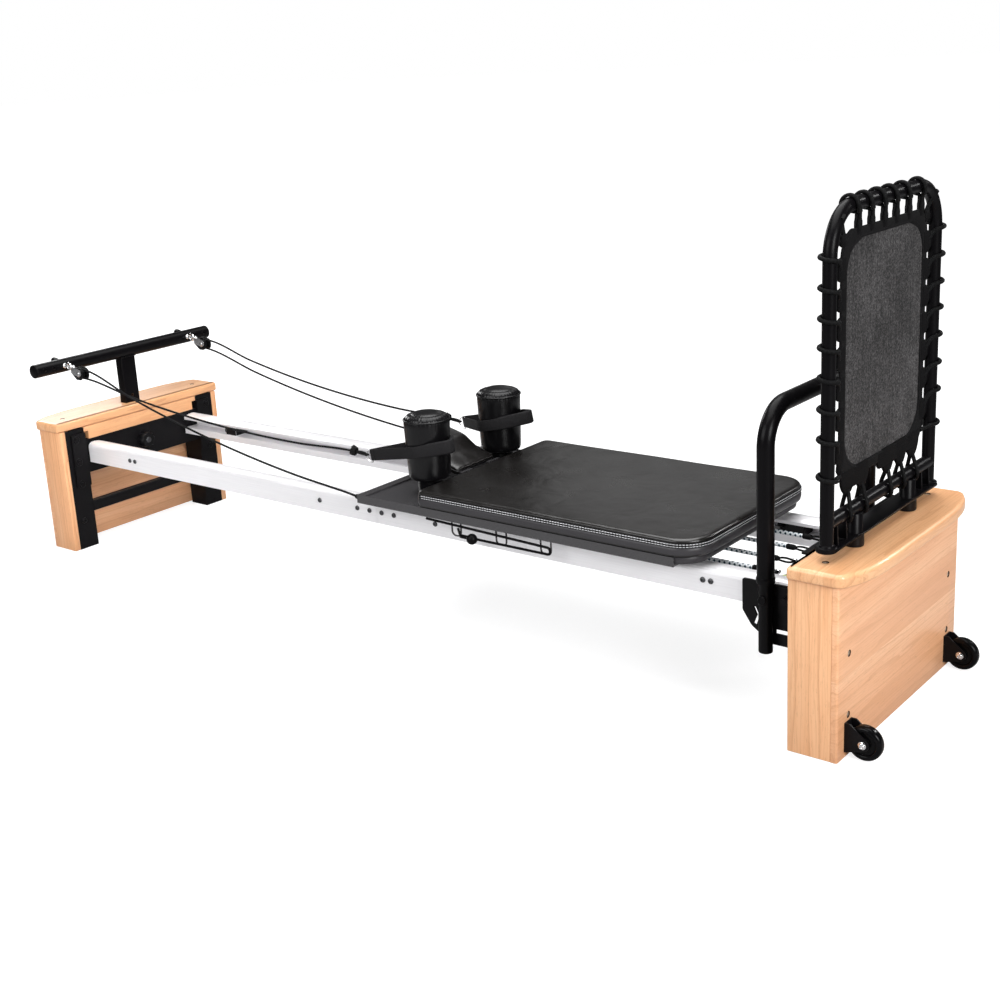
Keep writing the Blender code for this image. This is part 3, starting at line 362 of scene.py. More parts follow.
def polished(name, colour=(0.86, 0.86, 0.87), roughness=0.12):
    made = Finish(name, colour, roughness, metallic=1.0)
    scratches = made.noise(made.place((1, 0.2, 1)), 300, 3)
    made.vary_roughness(scratches, roughness * 0.7, roughness * 1.8)
    made.bump(scratches, 0.04, 0.0003)
    return made.material


WOOD_PANEL = wood("hardwood_panel", "y", "z", (1.0, 1.0, 1.03), 0.09, 0.015, 1.05, 0.25)
WOOD_BOARD = wood("hardwood_board", "z", "x", (1.0, 0.985, 0.95), 0.052, 0.01, 1.25, 0.25)
WOOD_CAP = wood("hardwood_cap", "y", "x", (0.97, 0.96, 0.9), 0.055, 0.02, 1.2, 0.4)
STEEL = powder("black_powder_coat")
TUBE_COAT = powder("black_tube_coat", (0.0026, 0.0023, 0.0028), 0.31, 0.085)
ALUMINIUM = aluminium()
VINYL = leatherette("black_vinyl")
VINYL_ROLL = leatherette("black_vinyl_roll", (0.003, 0.0028, 0.0034), 0.3, 0.27, 0.03)
# A greyer copy of the black vinyl for the sides of the cushion and its board: painted light where the key
# lamp falls on those sides.
VINYL_LIT_SIDE = leatherette("black_vinyl_painted_lit_side", (0.033, 0.031, 0.0345), 0.42, 0.35, 0.05)
PLASTIC = moulded("black_plastic", (0.0034, 0.0033, 0.0037), 0.36, 1400, 0.15)
# The tray is black; its grey base is painted sheen, standing for the reflections and lit look of its gloss.
TRAY_PAINTED_SHEEN = powder("black_tray_painted_sheen", (0.038, 0.0365, 0.039), 0.17, 0.6)
RUBBER = moulded("black_rubber", (0.0042, 0.004, 0.0043), 0.45, 800, 0.18)
GLOSS = moulded("black_wheel", (0.0022, 0.0022, 0.0025), 0.22, 300, 0.1)
WEBBING = woven("black_webbing", (0.01, 0.0095, 0.0105), 0.0024, specular=0.2)
BORDER = woven("mat_border", (0.0036, 0.0034, 0.0038), 0.0022)
TAB = woven("mat_tab_webbing", (0.0028, 0.0026, 0.003), 0.0022, specular=0.08)
# Light grey thread for the cushion's stitching: real stitches, made light enough to stand also for the
# painted highlight along the glossy piping.
THREAD_AND_HIGHLIGHT = woven("light_thread_and_highlight", (0.5, 0.5, 0.52), 0.0016)
MESH = mesh_cloth("mat_mesh", (0.032, 0.0306, 0.0311), 0.0028)
ROPE = braided("black_rope", [(0.2, (0.002, 0.002, 0.002)), (0.8, (0.009, 0.009, 0.0095))], 180)
BUNGEE = braided("black_bungee", [(0.2, (0.0012, 0.0012, 0.0012)), (0.8, (0.0034, 0.0034, 0.0038))], 150)
ELASTIC = braided("striped_elastic", [(0.3, (0.03, 0.05, 0.07)), (0.52, (0.16, 0.22, 0.27)),
                                      (0.68, (0.62, 0.68, 0.72)), (0.9, (0.78, 0.81, 0.83))], 85)
CHROME = polished("polished_steel")
BRUSHED = polished("brushed_steel", (0.52, 0.52, 0.53), 0.26)
BOLT = polished("black_bolt", (0.1, 0.1, 0.105), 0.3)
SCREW = polished("brown_screw", (0.55, 0.44, 0.34), 0.35)
# Dark brown for every face cut by carve(): painted shade inside screw holes, post holes and slots, over
# darker end grain.
RECESS_SHADE = moulded("painted_recess_shade", (0.05, 0.025, 0.014), 0.8)
BLUE_TAG = woven("blue_tag", (0.02, 0.09, 0.42), 0.0016)
GREEN_TAG = woven("green_tag", (0.42, 0.5, 0.1), 0.0016)

floor_finish = Finish("studio_floor", (0.4, 0.4, 0.405), 0.75, specular=0.1)
floor_finish.link(floor_finish.ramp(floor_finish.noise(floor_finish.place(), 3, 2),
                                    [(0.3, (0.395, 0.395, 0.4)), (0.7, (0.405, 0.405, 0.407))]),
                  "Base Color")
# The floor brightens away from the object, so that it runs into the white behind it.
away = floor_finish.add("ShaderNodeVectorMath", {0: floor_finish.place()}, operation="LENGTH")
glow = floor_finish.add("ShaderNodeMapRange", {"Value": away.outputs["Value"], "From Min": 0.8,
                                               "From Max": 3.6, "To Min": 0.74, "To Max": 1.0})
floor_seen = floor_finish.add("ShaderNodeLightPath")
floor_finish.set(**{"Emission Color": (1, 1, 1, 1)})
floor_finish.link(floor_finish.math("MULTIPLY", glow.outputs[0], floor_seen.outputs["Is Camera Ray"]),
                  "Emission Strength")


# ---------------------------------------------------------------- mesh code
def carried(points, closed, up):
    """(point, side, up) along a path. A given up is kept; without one the frame is carried on."""
    count, frames, normal = len(points), [], None
    for index, point in enumerate(points):
        before = points[index - 1] if index or closed else point
        after = points[(index + 1) % count] if index < count - 1 or closed else point
        tangent = (after - before).normalized()
        if up is not None:
            normal = up
        elif normal is None:
            normal = Vector((0, 0, 1)) if abs(tangent.z) < 0.9 else Vector((1, 0, 0))
        normal = (normal - tangent * normal.dot(tangent)).normalized()
        frames.append((point, tangent.cross(normal), normal))
    return frames


def circle(radius, sides):
    angles = (2 * pi * step / sides for step in range(sides))
    return [(radius * cos(turn), radius * sin(turn)) for turn in angles]


def oblong(width, height, radius, steps=3):
    """A rounded rectangle round the origin, as a section to sweep."""
    points = []
    for x, y, start in ((1, 1, 0), (-1, 1, 90), (-1, -1, 180), (1, -1, 270)):
        for step in range(steps + 1):
            turn = radians(start + 90 * step / steps)
            points.append((x * (width / 2 - radius) + radius * cos(turn),
                           y * (height / 2 - radius) + radius * sin(turn)))
    return points


class Solid:
    """Closed shells gathered into one mesh."""

    def __init__(self):
        self.work = bmesh.new()
        self.uv = self.work.loops.layers.uv.new("UVMap")

    def loft(self, rings, closed=False, caps=True):
        rows = [[self.work.verts.new(point) for point in ring] for ring in rings]
        spans = list(zip(rows, rows[1:]))
        if closed:
            spans.append((rows[-1], rows[0]))
        travelled, count = 0.0, len(rows[0])
        for first, second in spans:
            middle = [sum((v.co for v in row), Vector()) / count for row in (first, second)]
            reached = travelled + (middle[1] - middle[0]).length
            for index in range(count):
                following = (index + 1) % count
                face = self.work.faces.new((first[index], first[following],
                                            second[following], second[index]))
                corners = ((index, travelled), (index + 1, travelled),
                           (index + 1, reached), (index, reached))
                for loop, (u, v) in zip(face.loops, corners):
                    loop[self.uv].uv = (u / count, v)
            travelled = reached
        if caps and not closed:
            self.work.faces.new(rows[0])
            self.work.faces.new(rows[-1])
        return self

    def sweep(self, points, section, closed=False, up=None):
        """section is one outline, or one for each point."""
        points = [Vector(point) for point in points]
        sections = section if isinstance(section[0], list) else [section] * len(points)
        rings = [[point + side * a + normal * b for a, b in outline]
                 for (point, side, normal), outline in zip(carried(points, closed, up), sections)]
        return self.loft(rings, closed)

    def tube(self, points, radius, sides=14, closed=False):
        return self.sweep(points, circle(radius, sides), closed)

    def lathe(self, profile, origin, axis=(0, 0, 1), sides=40, closed=False):
        """profile is (radius, height along the axis); closed for a bored piece."""
        axis = Vector(axis).normalized()
        turn = Vector((0, 0, 1)).rotation_difference(axis)
        rings = []
        for radius, height in profile:
            rings.append([Vector(origin) + turn @ Vector((a, b, height))
                          for a, b in circle(max(radius, 0.00002), sides)])
        return self.loft(rings, closed)

    def gather(self, part):
        mesh = bpy.data.meshes.new("part")
        part.to_mesh(mesh)
        part.free()
        self.work.from_mesh(mesh)
        bpy.data.meshes.remove(mesh)
        return self

    def block(self, low, high, bevel=0.001, segments=2):
        low, high = Vector(low), Vector(high)
        part = bmesh.new()
        bmesh.ops.create_cube(part, size=1.0)
        bmesh.ops.scale(part, vec=high - low, verts=part.verts)
        bmesh.ops.translate(part, vec=(low + high) / 2, verts=part.verts)
        if bevel:
            bmesh.ops.bevel(part, geom=part.edges[:], offset=bevel, segments=segments, profile=0.5,
                            affect="EDGES")
        return self.gather(part)

    def prism(self, outline, axis, low, high, bevel=0.0008, segments=2):
        """A flat outline made thick along an axis; (y, z), (x, z) or (x, y) for x, y or z."""
        part = bmesh.new()
        def place(a, b, c):
            return {"x": (c, a, b), "y": (a, c, b), "z": (a, b, c)}[axis]
        base = [part.verts.new(place(a, b, low)) for a, b in outline]
        top = [part.verts.new(place(a, b, high)) for a, b in outline]
        rims = [part.faces.new(base), part.faces.new(top)]
        count = len(base)
        for index in range(count):
            following = (index + 1) % count
            part.faces.new((base[index], base[following], top[following], top[index]))
        bmesh.ops.recalc_face_normals(part, faces=part.faces)
        if bevel:
            edges = {edge for face in rims for edge in face.edges}
            bmesh.ops.bevel(part, geom=list(edges), offset=bevel, segments=segments, profile=0.5,
                            affect="EDGES")
        return self.gather(part)

    def move(self, matrix):
        bmesh.ops.transform(self.work, matrix=matrix, verts=self.work.verts)
        return self

    def done(self, name, material, body, slot, replaces=(), smooth=40):
        bmesh.ops.recalc_face_normals(self.work, faces=self.work.faces)
        mesh = bpy.data.meshes.new(name)
        self.work.to_mesh(mesh)
        self.work.free()
        made = bpy.data.objects.new(name, mesh)
        scene.collection.objects.link(made)
        made.location.x = -MID_X
        mesh.materials.append(material)
        mesh.shade_smooth()
        mesh.set_sharp_from_angle(angle=radians(smooth))
        if replaces:
            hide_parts(*([replaces] if isinstance(replaces, str) else replaces))
        if body:
            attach(made, body)
        return made


def carve(thing, tools):
    """Cuts solids out of a piece that is already riding on its body."""
    for number, solid in enumerate(tools):
        tool = solid.done(f"cutter_{number}", RECESS_SHADE, None, "wood")
        step = thing.modifiers.new("cut", "BOOLEAN")
        step.operation, step.solver, step.object = "DIFFERENCE", "EXACT", tool
        # Cut faces take the cutter's dark brown: painted shade inside the holes.
        step.material_mode = "TRANSFER"
        bpy.context.view_layer.update()
        mesh = bpy.data.meshes.new_from_object(
            thing.evaluated_get(bpy.context.evaluated_depsgraph_get()))
        thing.modifiers.clear()
        thing.data = mesh
        bpy.data.objects.remove(tool)
    thing.data.shade_smooth()
    thing.data.set_sharp_from_angle(angle=radians(30))
    return thing


def rounded(corners, steps=8):
    """A polygon whose corners, given as (x, y, radius), are rounded with arcs."""
    points = []
    for index, (x, y, radius) in enumerate(corners):
        here = Vector((x, y))
        before = (Vector(corners[index - 1][:2]) - here).normalized()
        after = (Vector(corners[(index + 1) % len(corners)][:2]) - here).normalized()
        if radius <= 0:
            points.append((x, y))
            continue
        half = before.angle(after) / 2
        middle = here + (before + after).normalized() * (radius / sin(half))
        first = here + before * (radius / tan(half)) - middle
        last = here + after * (radius / tan(half)) - middle
        sweep = first.angle_signed(last)
        for step in range(steps + 1):
            arm = first.copy()
            arm.rotate(Matrix.Rotation(-sweep * step / steps, 2))
            points.append(tuple(middle + arm))
    return points


def bent(corners, radius, steps=14):
    """A polyline whose corners are bent to a radius."""
    corners = [Vector(corner) for corner in corners]
    points = [corners[0]]
    for before, here, after in zip(corners, corners[1:], corners[2:]):
        back, ahead = (before - here).normalized(), (after - here).normalized()
        half = back.angle(ahead) / 2
        middle = here + (back + ahead).normalized() * (radius / sin(half))
        start = here + back * (radius / tan(half))
        for step in range(steps + 1):
            spin = Matrix.Rotation(-(pi - 2 * half) * step / steps, 3, back.cross(ahead))
            points.append(middle + spin @ (start - middle))
    return points + [corners[-1]]


def smooth_route(knots, spacing):
    """Points at even spacing along a smooth curve through unevenly spaced knots."""
    knots = [Vector(knot) for knot in knots]
    spans = [(b - a).length for a, b in zip(knots, knots[1:])]
    slopes = [(b - a) / span for a, b, span in zip(knots, knots[1:], spans)]
    inner = [(before * far + after * near) / (near + far)
             for before, after, near, far in zip(slopes, slopes[1:], spans, spans[1:])]
    tangents = [slopes[0]] + inner + [slopes[-1]]
    dense = []
    for a, b, leave, arrive, span in zip(knots, knots[1:], tangents, tangents[1:], spans):
        steps = max(4, round(span / 0.001))
        for t in (step / steps for step in range(steps)):
            dense.append((2 * t ** 3 - 3 * t * t + 1) * a + (t ** 3 - 2 * t * t + t) * span * leave
                         + (3 * t * t - 2 * t ** 3) * b + (t ** 3 - t * t) * span * arrive)
    dense.append(knots[-1])
    lengths = [(q - p).length for p, q in zip(dense, dense[1:])]
    count = max(2, round(sum(lengths) / spacing))
    step, points, travelled, target = sum(lengths) / count, [dense[0]], 0.0, 1
    for point, following, length in zip(dense, dense[1:], lengths):
        while target < count and travelled + length >= target * step:
            points.append(point.lerp(following, (target * step - travelled) / length))
            target += 1
        travelled += length
    return points + [dense[-1]]


def inset(outline, amount):
    """A convex outline moved inwards by an amount."""
    count, moved = len(outline), []
    for index in range(count):
        before = Vector(outline[(index + 1) % count]) - Vector(outline[index - 1])
        normal = Vector((-before.y, before.x)).normalized()
        moved.append(Vector(outline[index]) + normal * amount)
    return moved


# ---------------------------------------------------------------- floor
floor = bpy.data.objects.new("floor", bpy.data.meshes.new("floor"))
sheet_of_floor = bmesh.new()
bmesh.ops.create_grid(sheet_of_floor, x_segments=1, y_segments=1, size=60)
sheet_of_floor.to_mesh(floor.data)
floor.data.materials.append(floor_finish.material)
floor.location.z = -0.0006
scene.collection.objects.link(floor)

# ---------------------------------------------------------------- the CAD pieces that stay
KEPT = {
    "rail_head_right": ALUMINIUM, "rail_head_left": ALUMINIUM,
    "rail_foot_right": ALUMINIUM, "rail_foot_left": ALUMINIUM,
    "rail_stop_right": RUBBER, "rail_stop_left": RUBBER, "head_apron": WOOD_CAP,
}
for name, node in NODES.items():
    material = KEPT.get(name, STEEL)
    if name.startswith(("roller", "pulley_sheave")):
        material = PLASTIC
    # The carriage tray takes the grey tray finish: painted sheen on a black tray.
    if name == "carriage_tray":
        material = TRAY_PAINTED_SHEEN
    node.data.materials.clear()
    node.data.materials.append(material)

# ---------------------------------------------------------------- wooden caps and end panels
BOX_OUT, BOX_HALF = 1.218, 0.285
CAP_TOP, CAP_HALF, CAP_CORNER, CAP_BOW = 0.376, 0.292, 0.022, 0.04
FOOT_IN, HEAD_IN = 1.116, -1.121
REB_X, POST_X, POST_Y = 1.168, 1.171, 0.1235
SCREW_X, SCREW_Y = 1.168, 0.237                  # the screws in both caps
REB_LOWER = 0.449                                 # height of the lower cross tube


def cap(name, inner, outward, cutters):
    """A bowed cap with a rounded edge; outline runs with the solid on its left."""
    def outer(y):
        return outward * (BOX_OUT + CAP_BOW * (1 - (abs(y) / 0.3) ** 5.5)), y

    ys = [CAP_HALF * sin(radians(angle)) for angle in range(-62, 63, 4)]
    corners = ([(inner, CAP_HALF, 0.004), (inner, -CAP_HALF, 0.004)]
               + [(*outer(-CAP_HALF), CAP_CORNER)] + [(*outer(y), 0) for y in ys]
               + [(*outer(CAP_HALF), CAP_CORNER)])
    outline = rounded(corners, 10)
    if outward < 0:
        outline.reverse()
    low, top, big, small = 0.3503, CAP_TOP, 0.0085, 0.0045
    rims = [(small * (1 - sin(turn)), low + small * (1 - cos(turn)))
            for turn in turns(15, 0, 91)]
    rims += [(big * (1 - cos(turn)), top - big * (1 - sin(turn)))
             for turn in turns(10, 0, 91)] + [(big + 0.0015, top)]
    rings = [[(p.x, p.y, z) for p in inset(outline, amount)] for amount, z in rims]
    made = Solid().loft(rings).done(name, WOOD_CAP, "frame", "wood", name.replace("_board", ""), 30)
    return carve(made, cutters)


def screw_hole(x, y, z, axis, sign):
    return Solid().lathe([(0.0068, -0.005), (0.0068, 0.01)], (x, y, z),
                         [sign if name == axis else 0 for name in "xyz"], 20)


def recessed_screw(name, x, y, z, axis):
    """A dark countersunk screw with a cross recess, sitting in its hole."""
    head = Solid().lathe([(0.0052, -0.0049), (0.0052, -0.0016), (0.0036, -0.0011), (0.0015, -0.001),
                          (0.0009, -0.0024), (0.00005, -0.0026)], (x, y, z), axis, 20)
    return head.done(name, SCREW, "frame", "black_steel")


post_holes = [Solid().lathe([(0.0168, -0.05), (0.0168, 0.05)], (POST_X, sign * POST_Y, 0.36), sides=40)
              for sign in (-1, 1)]
cap("foot_cap_board", FOOT_IN, 1, post_holes + [screw_hole(SCREW_X, s * SCREW_Y, CAP_TOP, "z", 1)
                                                for s in (-1, 1)])
bar_slot = Solid().block((-1.1798, -0.0258, 0.33), (-1.1502, 0.0258, 0.4), 0)
cap("head_cap_board", HEAD_IN, -1, [bar_slot] + [screw_hole(-SCREW_X, s * SCREW_Y, CAP_TOP, "z", 1)
                                                 for s in (-1, 1)])
PANEL_LAP, BOX_EDGE = 0.013, 0.0045
for end, sign in (("head", -1), ("foot", 1)):
    # The end panel laps over the ends of the side boards, with an eased corner down each side.
    inner, outer = sign * (BOX_OUT - PANEL_LAP), sign * BOX_OUT
    outline = rounded([(inner, -BOX_HALF, 0.0), (outer, -BOX_HALF, BOX_EDGE), (outer, BOX_HALF, BOX_EDGE),
                       (inner, BOX_HALF, 0.0)][::sign], 5)
    panel = Solid().prism(outline, "z", 0.0, 0.3497, 0.0006).done(
        f"{end}_end_panel_board", WOOD_PANEL, "frame", "wood", f"{end}_end_panel")
    places = [(outer, y, z) for y in (-0.238, 0.238) for z in (0.207, 0.083)]
    carve(panel, [screw_hole(*place, "x", sign) for place in places])
    for number, place in enumerate(places):
        recessed_screw(f"{end}_panel_screw_{number}", *place, (sign, 0, 0))
    for side, y in SIDES.items():
        recessed_screw(f"{end}_cap_screw_{side}", sign * SCREW_X, y * SCREW_Y, CAP_TOP, (0, 0, 1))
        low_b, high_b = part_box(f"{end}_side_board_{side}")
        near = (low_b.x if end == "foot" else high_b.x) + MID_X
        xs = sorted((near, inner - sign * 0.0003))
        Solid().block((xs[0], low_b.y, low_b.z), (xs[1], high_b.y, 0.3497), 0.0016, 3).done(
            f"{end}_side_panel_{side}", WOOD_BOARD, "frame", "wood", f"{end}_side_board_{side}")

# ---------------------------------------------------------------- bolts on the rails and plates
BUTTON = [(0.006, 0.0), (0.006, 0.0013), (0.0053, 0.0028), (0.0037, 0.0036), (0.0024, 0.0037),
          (0.002, 0.0018), (0.00005, 0.0017)]
bolts = Solid()
for side in (-1, 1):
    for x in (-0.93, -0.908, -0.189, -0.062, -0.022, 0.017, 0.056, 0.184, 0.887, 0.905):
        bolts.lathe(BUTTON, (x, side * 0.2, 0.2755), (0, side, 0), 20)
bolts.done("rail_bolts", BOLT, "frame", "black_steel")

LARGE = [(0.0085, 0.0), (0.0085, 0.0012), (0.0078, 0.003), (0.005, 0.0048), (0.0032, 0.005),
         (0.003, 0.0026), (0.00005, 0.0025)]
caps = Solid()
for side in (-1, 1):
    caps.lathe(LARGE, (HEAD_IN, side * 0.243, 0.082), (1, 0, 0), 24)
    caps.lathe(LARGE, (FOOT_IN, side * 0.243, 0.082), (-1, 0, 0), 24)
    for z in (0.19, 0.255, 0.32):
        caps.lathe([(r * 1.35, h * 0.5) for r, h in LARGE[:3]] + [(0.0076, 0.0014)],
                   (HEAD_IN + 0.006, side * 0.238, z), (1, 0, 0), 24)
caps.done("leg_bolts", STEEL, "frame", "black_steel")

# ---------------------------------------------------------------- pulley bar
BAR_X, BAR_Z, PULLEY_Y, EYE_X, EYE_Z = -1.165, 0.527, 0.221, -1.124, 0.529
bar = Solid()
bar.lathe([(0.0155, -0.3112), (0.0185, -0.3096), (0.0193, -0.3065), (0.019, -0.306),
           (0.019, 0.306), (0.0193, 0.3065), (0.0185, 0.3096), (0.0155, 0.3112)],
          (BAR_X, 0, BAR_Z), (0, 1, 0), 56)
bar.block((-1.179, -0.025, 0.222), (-1.151, 0.025, 0.52), 0.0025, 3)
nuts = Solid()
for side in (-1, 1):
    nuts.lathe([(0.0088, 0.015), (0.0088, 0.03), (0.0078, 0.0315), (0.005, 0.0322), (0.00005, 0.0325)],
               (BAR_X, side * PULLEY_Y, EYE_Z + 0.006), (-1, 0, 0.2), 18)
    for y in (0.285, 0.256):
        nuts.lathe([(0.006, 0.017), (0.006, 0.0196), (0.005, 0.0212), (0.0024, 0.0216),
                    (0.002, 0.02), (0.00005, 0.0199)], (BAR_X, side * y, BAR_Z), (1, 0, 0.15), 18)
nuts.done("pulley_bar_nuts", TUBE_COAT, "pulley_bar", "black_steel")
# The weld bead where the post meets the bar.
bead = [(BAR_X + 0.015, y, 0.5115 + 0.0008 * sin(y * 900)) for y in
        [-0.026 + 0.002 * step for step in range(27)]]
bar.tube(bead, 0.0022, 8)
whole = bar.done("pulley_bar_frame", TUBE_COAT, "pulley_bar", "black_steel", "pulley_bar")
carve(whole, [Solid().lathe([(0.0046, -0.03), (0.0046, 0.03)], (-1.165, 0, 0.397), (1, 0, 0), 24)])

eyes = Solid()
for side in (-1, 1):
    y = side * PULLEY_Y
    eyes.tube([(EYE_X + 0.009 * cos(t), y, EYE_Z + 0.009 * sin(t))
               for t in turns(12)], 0.0026, 12, True)
    eyes.tube([(BAR_X + 0.014, y, EYE_Z), (EYE_X - 0.0085, y, EYE_Z)], 0.0036, 14)
    eyes.lathe([(0.0075, 0.0), (0.0075, 0.004), (0.0065, 0.005)], (BAR_X + 0.0185, y, EYE_Z),
               (1, 0, 0), 6)
eyes.done("pulley_eye_bolts", CHROME, "pulley_bar", "chrome")

SHEAVE_X, SHEAVE_Z = -1.069, 0.514
for name, side in SIDES.items():
    y = side * PULLEY_Y
    body = f"pulley_block_{name}"
    outline = rounded([(-1.1005, SHEAVE_Z + 0.0135, 0.004), (-1.1005, SHEAVE_Z, 0.004),
                       (-1.08, SHEAVE_Z - 0.0172, 0.008), (-1.052, SHEAVE_Z - 0.0172, 0.013),
                       (-1.052, SHEAVE_Z + 0.0135, 0.013), (-1.08, SHEAVE_Z + 0.018, 0.008)], 5)
    cheeks = Solid()
    for low, high in ((0.0088, 0.0122), (-0.0122, -0.0088)):
        cheeks.prism(outline, "y", y + low, y + high, 0.0008)
    cheeks.prism(rounded([(-1.1003, SHEAVE_Z + 0.0133, 0.003), (-1.1003, SHEAVE_Z, 0.003),
                          (-1.0885, SHEAVE_Z - 0.008, 0), (-1.0885, SHEAVE_Z + 0.0155, 0)], 4),
                 "y", y - 0.009, y + 0.009, 0.0006)
    cheeks.done(f"pulley_cheeks_{name}", PLASTIC, body, "chrome", f"pulley_block_{name}")
    metal = Solid()
    ring_x = EYE_X + 0.009
    metal.tube([(ring_x + 0.0095 * cos(t), y + 0.0075 * sin(t), EYE_Z)
                for t in turns(12)], 0.0024, 12, True)
    metal.tube([(ring_x + 0.0095, y, EYE_Z), (-1.099, y, EYE_Z - 0.006), (-1.094, y, EYE_Z - 0.009)],
               0.0036, 14)
    for sign in (-1, 1):
        metal.lathe([(0.0062, 0.0122), (0.0062, 0.0132), (0.0045, 0.0148), (0.00005, 0.0152)],
                    (SHEAVE_X, y, SHEAVE_Z), (0, sign, 0), 20)
        metal.prism(rounded([(-1.1003, SHEAVE_Z + 0.0132, 0.003), (-1.1003, SHEAVE_Z - 0.0005, 0.003),
                             (-1.068, SHEAVE_Z - 0.009, 0.006), (-1.0555, SHEAVE_Z - 0.002, 0.006),
                             (-1.059, SHEAVE_Z + 0.0115, 0.006), (-1.08, SHEAVE_Z + 0.0168, 0.006)], 5),
                    "y", *sorted((y + sign * 0.012, y + sign * 0.0128)), 0.0003, 1)
    metal.block((-1.1006, y - 0.0126, SHEAVE_Z - 0.0004), (-1.0988, y + 0.0126, SHEAVE_Z + 0.0128), 0.0004)
    metal.tube([(SHEAVE_X, y - 0.0118, SHEAVE_Z), (SHEAVE_X, y + 0.0118, SHEAVE_Z)], 0.003, 16)
    metal.done(f"pulley_swivel_{name}", BRUSHED, body, "chrome")

# Lock knob: eight lobes, a dished face and a dark centre cap.
WEB, KNOB_R, KNOB_Z = HEAD_IN - 0.003, 0.0232, 0.265
knob_rings = []
for scale, height in ((0.92, 0.0004), (1.0, 0.003), (1.0, 0.017), (0.97, 0.021), (0.88, 0.0245),
                      (0.7, 0.0255), (0.5, 0.0235), (0.42, 0.0232)):
    knob_rings.append([(WEB + height, KNOB_R * scale * (1 + 0.055 * cos(8 * t)) * cos(t),
                        KNOB_Z + KNOB_R * scale * (1 + 0.055 * cos(8 * t)) * sin(t))
                       for t in turns(4)])
knob = Solid().loft(knob_rings).tube([(-1.1506, 0, KNOB_Z), (WEB + 0.004, 0, KNOB_Z)], 0.004, 20)
knob.done("lock_knob", PLASTIC, "height_knob", "plastic", "height_knob")
Solid().lathe([(0.0085, 0.0228), (0.0085, 0.0245), (0.007, 0.0258), (0.004, 0.026),
               (0.0034, 0.0245), (0.00005, 0.0243)], (WEB, 0, KNOB_Z), (1, 0, 0), 24).done(
    "lock_knob_centre", BOLT, "height_knob", "black_steel")

# ---------------------------------------------------------------- foot bar
FOOTBAR_X, FOOTBAR_Y, PIVOT_Z = 1.04, 0.226, 0.275
grip = Solid()
grip.tube(bent([(FOOTBAR_X, -FOOTBAR_Y, 0.318), (FOOTBAR_X, -FOOTBAR_Y, 0.647),
                (FOOTBAR_X, FOOTBAR_Y, 0.647), (FOOTBAR_X, FOOTBAR_Y, 0.318)], 0.075), 0.017, 36)
for side in (-1, 1):
    origin = (FOOTBAR_X, side * FOOTBAR_Y, 0)
    grip.lathe([(0.012, 0.1642), (0.0136, 0.1652), (0.014, 0.168), (0.014, 0.306), (0.015, 0.3075),
                (0.0178, 0.308), (0.0184, 0.3095), (0.0184, 0.3185), (0.0178, 0.32), (0.015, 0.3205)],
               origin, sides=36)
    grip.tube([(FOOTBAR_X, side * FOOTBAR_Y, PIVOT_Z), (FOOTBAR_X, side * 0.2025, PIVOT_Z)], 0.006, 20)
    grip.lathe([(0.009, 0.0138), (0.009, 0.0155), (0.0075, 0.0172), (0.00005, 0.0178)],
               (FOOTBAR_X, side * FOOTBAR_Y, PIVOT_Z), (0, side, 0), 20)
grip.done("foot_bar_tube", TUBE_COAT, "foot_bar", "black_steel", "foot_bar")

# ---------------------------------------------------------------- rebounder
REB_HALF, TUBE = 0.234, 0.013
tower = Solid()
tower.tube(bent([(REB_X, -REB_HALF, 0.4), (REB_X, -REB_HALF, 1.018), (REB_X, REB_HALF, 1.018),
                 (REB_X, REB_HALF, 0.4)], 0.085), TUBE, 32)
tower.tube([(REB_X, -REB_HALF, REB_LOWER), (REB_X, REB_HALF, REB_LOWER)], TUBE, 32)
tower.block((1.1455, -0.236, 0.3985), (1.1895, 0.236, 0.403), 0.0008)
for side in (-1, 1):
    tower.lathe([(0.0185, 0.3958), (0.0194, 0.3966), (0.0194, 0.4052), (0.0185, 0.406), (0.015, 0.4065),
                 (0.014, 0.409), (0.013, 0.41)], (REB_X, side * REB_HALF, 0), sides=32)
    tower.lathe([(0.0145, 0.3002), (0.016, 0.3016), (0.016, 0.4405), (0.015, 0.4415)],
                (POST_X, side * POST_Y, 0), sides=36)
    for y in (0.212, 0.175):
        tower.prism([(REB_X - 0.013, 0.4025), (REB_X + 0.013, 0.4025), (REB_X + 0.0105, 0.45),
                     (REB_X - 0.0105, 0.45)], "y",
                    *sorted((side * (y - 0.0022), side * (y + 0.0022))), 0.0005, 1)
    # Weld beads along the gussets' feet.
    for y in (0.212, 0.175):
        tower.tube([(REB_X - 0.0125 + 0.0025 * step, side * y - 0.003, 0.404) for step in range(11)],
                   0.0014, 6)
tower.done("rebounder_tubes", TUBE_COAT, "rebounder", "black_steel", "rebounder_frame", 45)
collars = Solid()
for side in (-1, 1):
    collars.lathe([(0.0166, 0.3762), (0.0186, 0.3764), (0.0192, 0.3785), (0.019, 0.3975),
                   (0.0178, 0.3984), (0.0163, 0.3984)], (POST_X, side * POST_Y, 0), sides=36, closed=True)
collars.done("rebounder_collars", RUBBER, "rebounder", "black_steel")

# Mat: a stretched mesh panel inside a bound edge.
MAT_HALF, MAT_LOW, MAT_HIGH = 0.19, 0.51, 0.976


def mat_outline(grow, corner):
    half, low, high = MAT_HALF - grow, MAT_LOW + grow, MAT_HIGH - grow
    return rounded([(-half, low, corner), (half, low, corner), (half, high, corner),
                    (-half, high, corner)], 12)


def scalloped(points, depth):
    """The edge drawn in a little between the tabs that pull on it."""
    moved = []
    for y, z in points:
        pull = 0.0
        if z > 0.9 and abs(y) < 0.16:
            pull = depth * (0.5 - 0.5 * cos(2 * pi * y / 0.062 + pi))
        moved.append((y, z - pull))
    return moved


